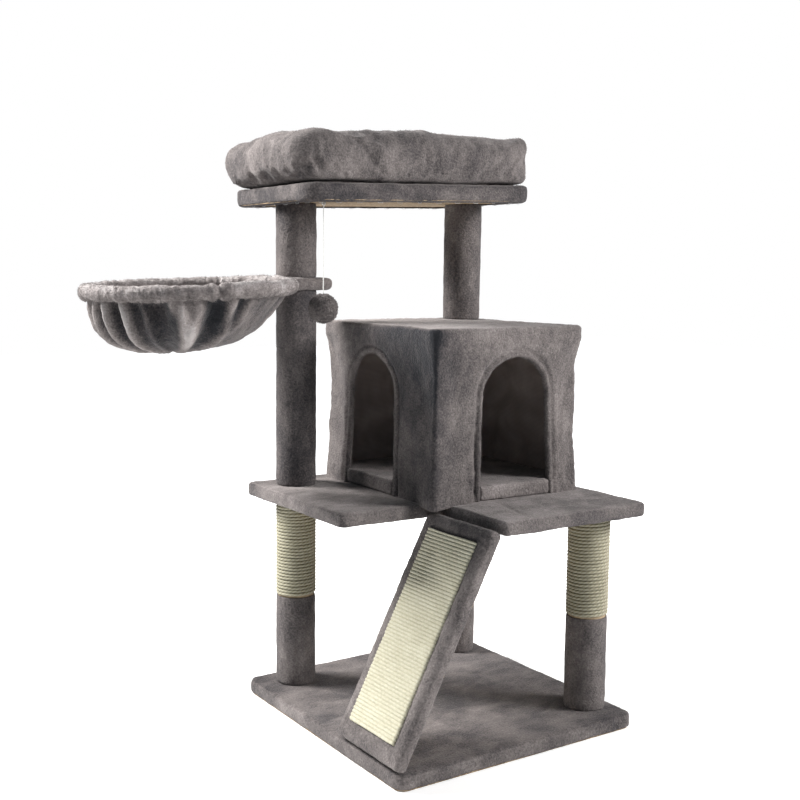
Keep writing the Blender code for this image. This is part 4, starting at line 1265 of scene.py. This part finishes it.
def hammock_matrix():
    """Frame on the hoop's middle: +X towards the post, +Z up, tipped as the hoop is."""
    _, middle, turn = hammock_axis()
    hoop_low, hoop_high = boxes["hammock_hoop"]
    place = Vector((middle.x, middle.y, (hoop_low.z + hoop_high.z) / 2.0))
    return Matrix.Translation(place) @ Matrix.Rotation(turn, 4, "Z") @ Matrix.Rotation(-HAMMOCK_TILT, 4, "Y")


def pleats():
    """The folds as (turn, half width, depth, reach down the bowl, slant), in degrees and metres."""
    folds = [
        (150.0, 3.5, 0.0070, 0.55, 2.0),
        (164.0, 3.6, 0.0090, 0.60, 3.0),
        (177.0, 3.4, 0.0120, 0.72, 6.0),
        (191.5, 3.6, 0.0200, 0.88, 9.0),
        (204.0, 3.0, 0.0210, 0.95, 12.0),
        (217.0, 6.0, 0.0290, 1.10, 17.0),
        (231.0, 1.7, 0.0060, 0.40, 3.0),
        (254.5, 4.6, 0.0230, 0.85, 4.0),
        (270.0, 3.2, 0.0100, 0.42, -3.0),
        (289.0, 2.6, 0.0024, 0.35, -2.0),
        (312.0, 3.4, 0.0030, 0.35, -2.0),
    ]
    chance = np.random.default_rng(7)
    ranges = ((2.6, 5.0), (0.007, 0.018), (0.5, 0.9), (-6.0, 6.0))
    turn = 334.0
    while turn < 500.0:
        folds.append((turn, *(chance.uniform(low, high) for low, high in ranges)))
        turn += chance.uniform(9.0, 16.0)
    return folds


def hammock_bowl(finish):
    """Two-layer bowl of gathered plush hanging from the rim, its pleats running down to a flat bottom."""
    rows, columns = 84, 560
    turn = np.degrees(2.0 * math.pi * np.arange(columns) / columns)
    level = (np.arange(rows) / (rows - 1)) ** 0.9
    turns, levels = np.meshgrid(turn, level, indexing="xy")
    arc = levels * math.pi / 2.0
    away = 0.5 - 0.5 * np.cos(np.radians(turns - SAG_TURN))
    drop = np.sin(arc) ** 0.84
    radius = (HOOP_RADIUS - 0.004) * np.cos(arc) ** 0.80 * (1.0 - 0.13 * away * np.sin(math.pi * drop ** 0.9))
    top = -RIM_RADIUS * 0.55
    height = top - (BOWL_DEPTH + top) * drop
    sag = 0.034 * drop ** 1.7
    pressed = np.zeros_like(radius)
    for middle, wide, depth, reach, slant in pleats():
        across = (turns - middle - slant * levels * 1.3 + 180.0) % 360.0 - 180.0
        width = wide * (1.0 + 0.8 * levels)
        fade = clamp(1.0 - levels / reach) ** 0.6 * clamp(0.40 + levels / 0.10)
        valley = 1.0 / (1.0 + np.abs(across / width) ** 3.2)
        shoulder = 0.36 * bell(np.abs(across) - 2.1 * width, 0.75 * width)
        pressed += depth * fade * (valley - shoulder) * clamp(radius / 0.070)
    flat = np.radians(turns)
    out_share = np.cos(arc * 0.8)
    shifted = radius - pressed * out_share
    lifted = height + pressed * np.sin(arc * 0.8) * 0.8
    sag_x, sag_y = math.cos(math.radians(SAG_TURN)), math.sin(math.radians(SAG_TURN))
    spots = [shifted * np.cos(flat) + sag * sag_x, shifted * np.sin(flat) + sag * sag_y, lifted]
    points = np.stack(spots, -1).reshape(-1, 3)
    mesh = new_mesh("hammock_bowl_cloth", points, grid_faces(rows, columns), outward=False)
    close_middle(mesh)
    normals = read_normals(mesh)
    if (normals[:columns] * points[:columns] * np.array([1.0, 1.0, 0.0])).sum() < 0.0:
        mesh.flip_normals()
        normals = read_normals(mesh)
    points = read_points(mesh)
    points = points + normals * plush_relief(points, 111, 0.0016, 0.0012, 0.0006)[:, None]
    write_points(mesh, points)
    store_tone_and_painted_light(mesh, bowl_tone_and_painted_light(points, pressed))
    mesh = thickened(mesh, BOWL_CLOTH)
    tone_and_painted_light = mesh.attributes["tone_and_painted_light"]
    # The inner layer gets a weaker, lighter copy of the painted light and shade.
    tone = np.zeros(len(mesh.vertices), np.float32)
    tone_and_painted_light.data.foreach_get("value", tone)
    tone[len(points):] = 0.25 * tone[len(points):] + 0.3
    tone_and_painted_light.data.foreach_set("value", tone)
    placed(mesh, hammock_matrix())
    bowl = add_piece("hammock_bowl_cloth", mesh, finish["plush"], "hammock", "plush", "hammock_bowl")


def bowl_tone_and_painted_light(points, pressed):
    """The bowl's tone: random tone, painted shade down in the folds and painted light along the ridges between
    them, painted light on the bowl's outer end, and darker overall.
    """
    painted_fold_shade = np.resize(np.clip(-pressed.ravel() / 0.0040, -2.0, 2.2), len(points))
    turn = np.arctan2(points[:, 1], points[:, 0])
    # Painted light on the bowl's outer end, away from the post.
    outer = 1.3 * clamp(np.cos(turn - math.radians(185.0))) ** 2
    return 0.45 * noise(points, 0.040, 112) - 0.8 + outer + painted_fold_shade


def close_middle(mesh):
    """Joins the points that meet at the bowl's lowest spot, and closes any ring left there."""
    shape = bmesh.new()
    shape.from_mesh(mesh)
    bmesh.ops.remove_doubles(shape, verts=shape.verts, dist=0.00012)
    rim = [edge for edge in shape.edges if edge.is_boundary]
    low = [edge for edge in rim if edge.verts[0].co.z < -BOWL_DEPTH / 2.0]
    if low:
        bmesh.ops.holes_fill(shape, edges=low, sides=len(low))
    shape.to_mesh(mesh)
    shape.free()


def hammock_rim(finish):
    """Stuffed roll round the hoop: gathered into small lumps, pinched where its ends meet and at a knot."""
    rings, sides = 620, 28
    turn = (2.0 * math.pi * np.arange(rings) / rings)[:, None]
    around = 2.0 * math.pi * np.arange(sides)[None, :] / sides
    seam = 0.5 - 0.5 * np.sin(around + 0.3)
    path = np.stack([HOOP_RADIUS * np.cos(turn), HOOP_RADIUS * np.sin(turn), 0.0 * turn], -1).reshape(-1, 3)
    lump = noise(path, 0.030, 121)[:, None] * 0.0015
    gather = -np.abs(noise(path, 0.0085, 122))[:, None] * (0.0014 + 0.0032 * seam ** 1.3)
    joint = np.minimum(turn, 2.0 * math.pi - turn) * HOOP_RADIUS
    pinch = 1.0 - 0.30 * bell(joint, 0.007)
    knot = np.abs(turn - RIM_KNOT) * HOOP_RADIUS
    neck = 0.34 * bell(knot, 0.0045)
    shoulder = 0.10 * bell(knot - 0.011, 0.005)
    pinch = pinch * (1.0 - neck + shoulder)
    radius = (RIM_RADIUS + 0.0004 + lump + gather) * pinch
    droop = 0.0014 * noise(path, 0.060, 123)[:, None]
    out = HOOP_RADIUS + radius * np.cos(around)
    up = radius * np.sin(around) * 1.04 + droop
    points = np.stack([out * np.cos(turn), out * np.sin(turn), up], -1).reshape(-1, 3)
    mesh = new_mesh("hammock_rim_roll", points, grid_faces(rings, sides, wrap_rows=True))
    normals = read_normals(mesh)
    relief = 0.0008 * noise(points, 0.010, 124) + 0.0010 * noise(points, 0.0048, 125)
    write_points(mesh, points + normals * relief[:, None])
    # Painted light: the roll drawn lighter all over and most on its top, plus random tone.
    store_tone_and_painted_light(mesh, 0.9 * normals[:, 2] + 0.9 * noise(points, 0.012, 127) + 1.0)
    placed(mesh, hammock_matrix())
    rim = add_piece("hammock_rim_roll", mesh, finish["plush"], "hammock", "plush", "hammock_rim")
    standing_pile("hammock_rim_pile", mesh, finish, "hammock", count=16000, seed=126, length=0.0032)


def bracket_cover(finish):
    """Plush over the bracket board: straight towards the hammock, half-round on the other side."""
    low, high = boxes["bracket_cover"]
    half = BRACKET_HALF_WIDTH
    outline = [(BRACKET_START, half), (BRACKET_START, -half)]
    for step in range(25):
        turn = -math.pi / 2.0 + math.pi * step / 24
        outline.append((BRACKET_ROUND_MIDDLE + half * math.cos(turn), half * math.sin(turn)))
    pivot, _, turn = hammock_axis()
    matrix = Matrix.Translation((pivot[0], pivot[1], 0.0)) @ Matrix.Rotation(turn, 4, "Z")
    outline = even_outline(outline, 0.004)
    mesh = even_skin(rounded_slab(outline, low.z, high.z, 0.009, 0.009), 0.0026, 3)
    points = read_points(mesh)
    normals = read_normals(mesh)
    write_points(mesh, points + normals * plush_relief(points, 131, 0.0008, 0.0006, 0.0006)[:, None])
    placed(mesh, matrix)
    add_piece("bracket_plush", mesh, finish["plush"], "hammock", "plush", "bracket_cover")


# ---------------------------------------------------------------- perch bolster and toy

def perch_bolster(finish):
    """Stuffed wall round the bed, blown up as cloth and gathered along its foot on the tray."""
    foot = PERCH_HEIGHT + GAP
    tall = BOLSTER_HEIGHT + 0.008
    slim = 0.003
    rings = []
    steps = 26
    for step in range(steps):
        turn = 2.0 * math.pi * step / steps
        side, lift = math.cos(turn), math.sin(turn)
        swell = BOLSTER_BULGE if side > 0.0 else 0.0
        half = BOLSTER_WIDTH / 2.0
        out = -half + (half - slim + swell) * math.copysign(abs(side) ** 0.72, side)
        share = 0.5 + 0.5 * math.copysign(abs(lift) ** (0.78 if lift > 0.0 else 0.38), lift)
        shift = BOLSTER_SHIFT * math.sin(math.pi * share)
        rings.append([(x, y, foot + 0.001 + (tall - slim) * share) for x, y in perch_outline(out, shift)])
    points = np.array(rings).reshape(-1, 3)
    mesh = new_mesh("bolster", points, grid_faces(steps, len(rings[0]), wrap_rows=True))
    mesh = even_skin(mesh, 0.0060, 2)
    pinned = read_points(mesh)[:, 2] < foot + 0.010
    mesh = inflate(mesh, pressure=3.5, most=0.009, slack=0.04, frames=20, pinned=pinned)
    mesh = evaluated(mesh, ("SUBSURF", {"levels": 1, "render_levels": 1}))
    points = read_points(mesh)
    normals = read_normals(mesh)
    relief = plush_relief(points * np.array([1.0, 1.0, 0.6]), 141, 0.0024, 0.0014, 0.0006)
    points = points + normals * relief[:, None]
    left, right = PERCH_X
    near, back = PERCH_Y
    top = foot + tall
    from_corner = points[:, :2] - np.array([left, near]) - 0.020
    crown = np.exp(-((from_corner[:, 0] / 0.045) ** 2) - (from_corner[:, 1] / 0.050) ** 2)
    points[:, 2] += 0.0075 * crown * clamp((points[:, 2] - foot) / tall)
    west, south = left - 0.014, near - 0.014
    folds = [
        ((left - 0.012, near + 0.040, foot), (left - 0.006, near + 0.050, top), 0.0050, 0.008),
        ((west, near + 0.085, foot), (left - 0.008, near + 0.075, top), 0.0035, 0.008),
        ((west, back - 0.120, foot), (left - 0.008, back - 0.105, top), 0.0050, 0.009),
        ((west, back - 0.060, foot), (left - 0.008, back - 0.050, top), 0.0040, 0.010),
        ((left + 0.008, near - 0.010, foot), (left + 0.010, near - 0.004, top), 0.0040, 0.007),
        ((left + 0.040, south, foot), (left + 0.052, near + 0.030, top + 0.004), 0.0050, 0.009),
        ((left + 0.115, south, foot + 0.006), (left + 0.124, near - 0.004, top - 0.010), 0.0040, 0.012),
        ((left + 0.205, south, foot + 0.006), (left + 0.215, near - 0.004, top), 0.0030, 0.014),
        ((left + 0.300, south, foot + 0.010), (left + 0.290, near, top), 0.0034, 0.012),
    ]
    inner_corners = (
        (left + 0.030, back - 0.030, left + 0.065, back - 0.065),
        (right - 0.030, back - 0.030, right - 0.060, back - 0.065),
        (right - 0.030, near + 0.030, right - 0.065, near + 0.060),
        (left + 0.035, near + 0.032, left + 0.066, near + 0.062),
    )
    for x, y, end_x, end_y in inner_corners:
        folds.append(((x, y, top), (end_x, end_y, top - 0.020), 0.0040, 0.010))
    points = creased(points, normals, folds)
    chance = np.random.default_rng(17)
    for x, y in even_outline(perch_outline(0.004), 0.016):
        lean = chance.uniform(-0.008, 0.008, 2)
        stop = (x + lean[0], y + lean[1], foot + chance.uniform(0.010, 0.030))
        depth, width = chance.uniform(0.0010, 0.0026), chance.uniform(0.0025, 0.0045)
        points = crease(points, normals, (x, y, foot), stop, depth, width)
    points[:, 2] = np.maximum(points[:, 2], foot - 0.0006)
    write_points(mesh, points)
    # Painted shade on the faces towards -Y, growing towards +X, and on the faces towards -X; the noise is random
    # tone.
    front_painted_shade = clamp(-normals[:, 1]) * clamp((points[:, 0] - left) / (right - left))
    left_painted_shade = clamp(-normals[:, 0])
    tone = 0.5 * noise(points, 0.055, 144) + 0.35 * noise(points, 0.021, 145)
    store_tone_and_painted_light(mesh, tone - 0.5 * front_painted_shade - 0.5 * left_painted_shade)
    placed(mesh, perch_matrix())
    bolster = add_piece("perch_bolster_roll", mesh, finish["plush"], "tree", "plush", "perch_bolster")
    standing_pile("perch_bolster_pile", mesh, finish, "tree", count=16000, seed=143, length=0.0028)


def toy_ball(finish):
    """Small stuffed ball of plush, its pile standing up all round, drawn in where the string enters."""
    low, high = boxes["toy_ball"]
    middle = np.array((low + high) / 2.0)
    radius = (high.z - low.z) / 2.0
    shape = bmesh.new()
    bmesh.ops.create_icosphere(shape, subdivisions=6, radius=1.0)
    mesh = bpy.data.meshes.new("toy_ball_plush")
    shape.to_mesh(mesh)
    shape.free()
    out = read_points(mesh)
    tuft = np.abs(noise(out * radius, 0.0030, 151)) * 0.0022
    size = radius - 0.0009 + 0.0008 * noise(out * radius, 0.013, 152) + tuft - 0.0006
    dimple = 0.0030 * bell(np.linalg.norm(out[:, :2], axis=1), 0.12) * (out[:, 2] > 0)
    seam = 0.0010 * bell(out[:, 0] * 0.8 + out[:, 1] * 0.6, 0.05)
    write_points(mesh, middle + out * (size - dimple - seam)[:, None])
    ball = add_piece("toy_ball_plush", mesh, finish["plush"], "toy", "plush", "toy_ball")
    standing_pile("toy_ball_pile", mesh, finish, "toy", count=4500, seed=153, length=0.0030)
    return ball


# ---------------------------------------------------------------- staples and carried-over parts

def staple_line(name, outline, inset, height, spacing, finish, seed, matrix=None):
    """Wire staples along a hem's underside, each one a little askew."""
    chance = np.random.default_rng(seed)
    loop = even_outline(outline, spacing)
    out = outline_normals(loop)
    stations = ((-0.0052, -0.0012), (-0.0049, 0.0002), (-0.0040, 0.0006))
    stations += tuple((-run, lift) for run, lift in reversed(stations))
    sides = 6
    points = []
    faces = []
    caps = []
    for (x, y), (nx, ny) in zip(loop, out):
        turn = math.atan2(ny, nx) + math.pi / 2.0 + chance.uniform(-0.5, 0.5)
        centre = np.array([x - nx * inset, y - ny * inset, height])
        along = np.array([math.cos(turn), math.sin(turn), 0.0])
        side = np.array([-math.sin(turn), math.cos(turn), 0.0])
        down = np.array([0.0, 0.0, -1.0])
        start = len(points)
        for run, lift in stations:
            for step in range(sides):
                spin = 2.0 * math.pi * step / sides
                off = side * 0.0006 * math.cos(spin) + down * (lift + 0.0004 * math.sin(spin))
                points.append(centre + along * run + off)
        faces += (grid_faces(len(stations), sides) + start).tolist()
        caps += [range(start, start + sides), range(len(points) - sides, len(points))]
    mesh = new_mesh(name, points, faces, caps)
    if matrix is not None:
        placed(mesh, matrix)
    add_piece(name, mesh, finish["steel"], "tree", "steel")


def hem_staples(finish):
    staple_line("perch_hem_staples", perch_outline(0.0), 0.016, -0.0032, 0.042, finish, 161, perch_matrix())
    outline = rounded_outline(platform_corners(), PLATFORM_CORNER)
    under = boxes["platform_cover"][0].z - 0.0016
    staple_line("platform_hem_staples", outline, 0.015, under, 0.048, finish, 162)
    outline = rounded_outline(ramp_corners(), RAMP_CORNER)
    under = -RAMP_THICKNESS - 0.0016
    staple_line("ramp_hem_staples", outline, 0.013, under, 0.046, finish, 163, ramp_matrix())


def finish_cad_nodes(finish):
    """Gives every CAD node the finish of its slot."""
    slots = {part["node"]: part["material_slot"] for part in frame["record"]["subparts"]}
    for name, node in nodes.items():
        material = finish[slots[name]]
        if node.data.materials:
            for index in range(len(node.data.materials)):
                node.data.materials[index] = material
        else:
            node.data.materials.append(material)


make_camera()
finish = make_finishes()
string, route, cord_length = toy_cord(finish)
ball = toy_ball(finish)
make_light()
make_floor()
finish_cad_nodes(finish)
base_cover(finish)
platform_cover(finish)
for index, post in enumerate(("left_lower_post", "right_lower_post", "rear_lower_post")):
    sisal_wrap(post, finish, 201 + index)
# Each post with its painted shade: how much darker its plush is drawn.
sleeves = (
    ("left_lower_post", -0.3),
    ("right_lower_post", -0.3),
    ("rear_lower_post", 0.0),
    ("left_middle_post", -0.9),
    ("left_upper_post", -0.7),
    ("rear_upper_post", -0.5),
)
for index, (post, tone) in enumerate(sleeves):
    post_sleeve(post + "_plush", post + "_plush_sleeve", finish, 211 + 3 * index, tone)
ramp_pieces(finish)
condo(finish)
bracket_cover(finish)
hammock_bowl(finish)
hammock_rim(finish)
perch_tray(finish)
perch_bolster(finish)
hem_staples(finish)
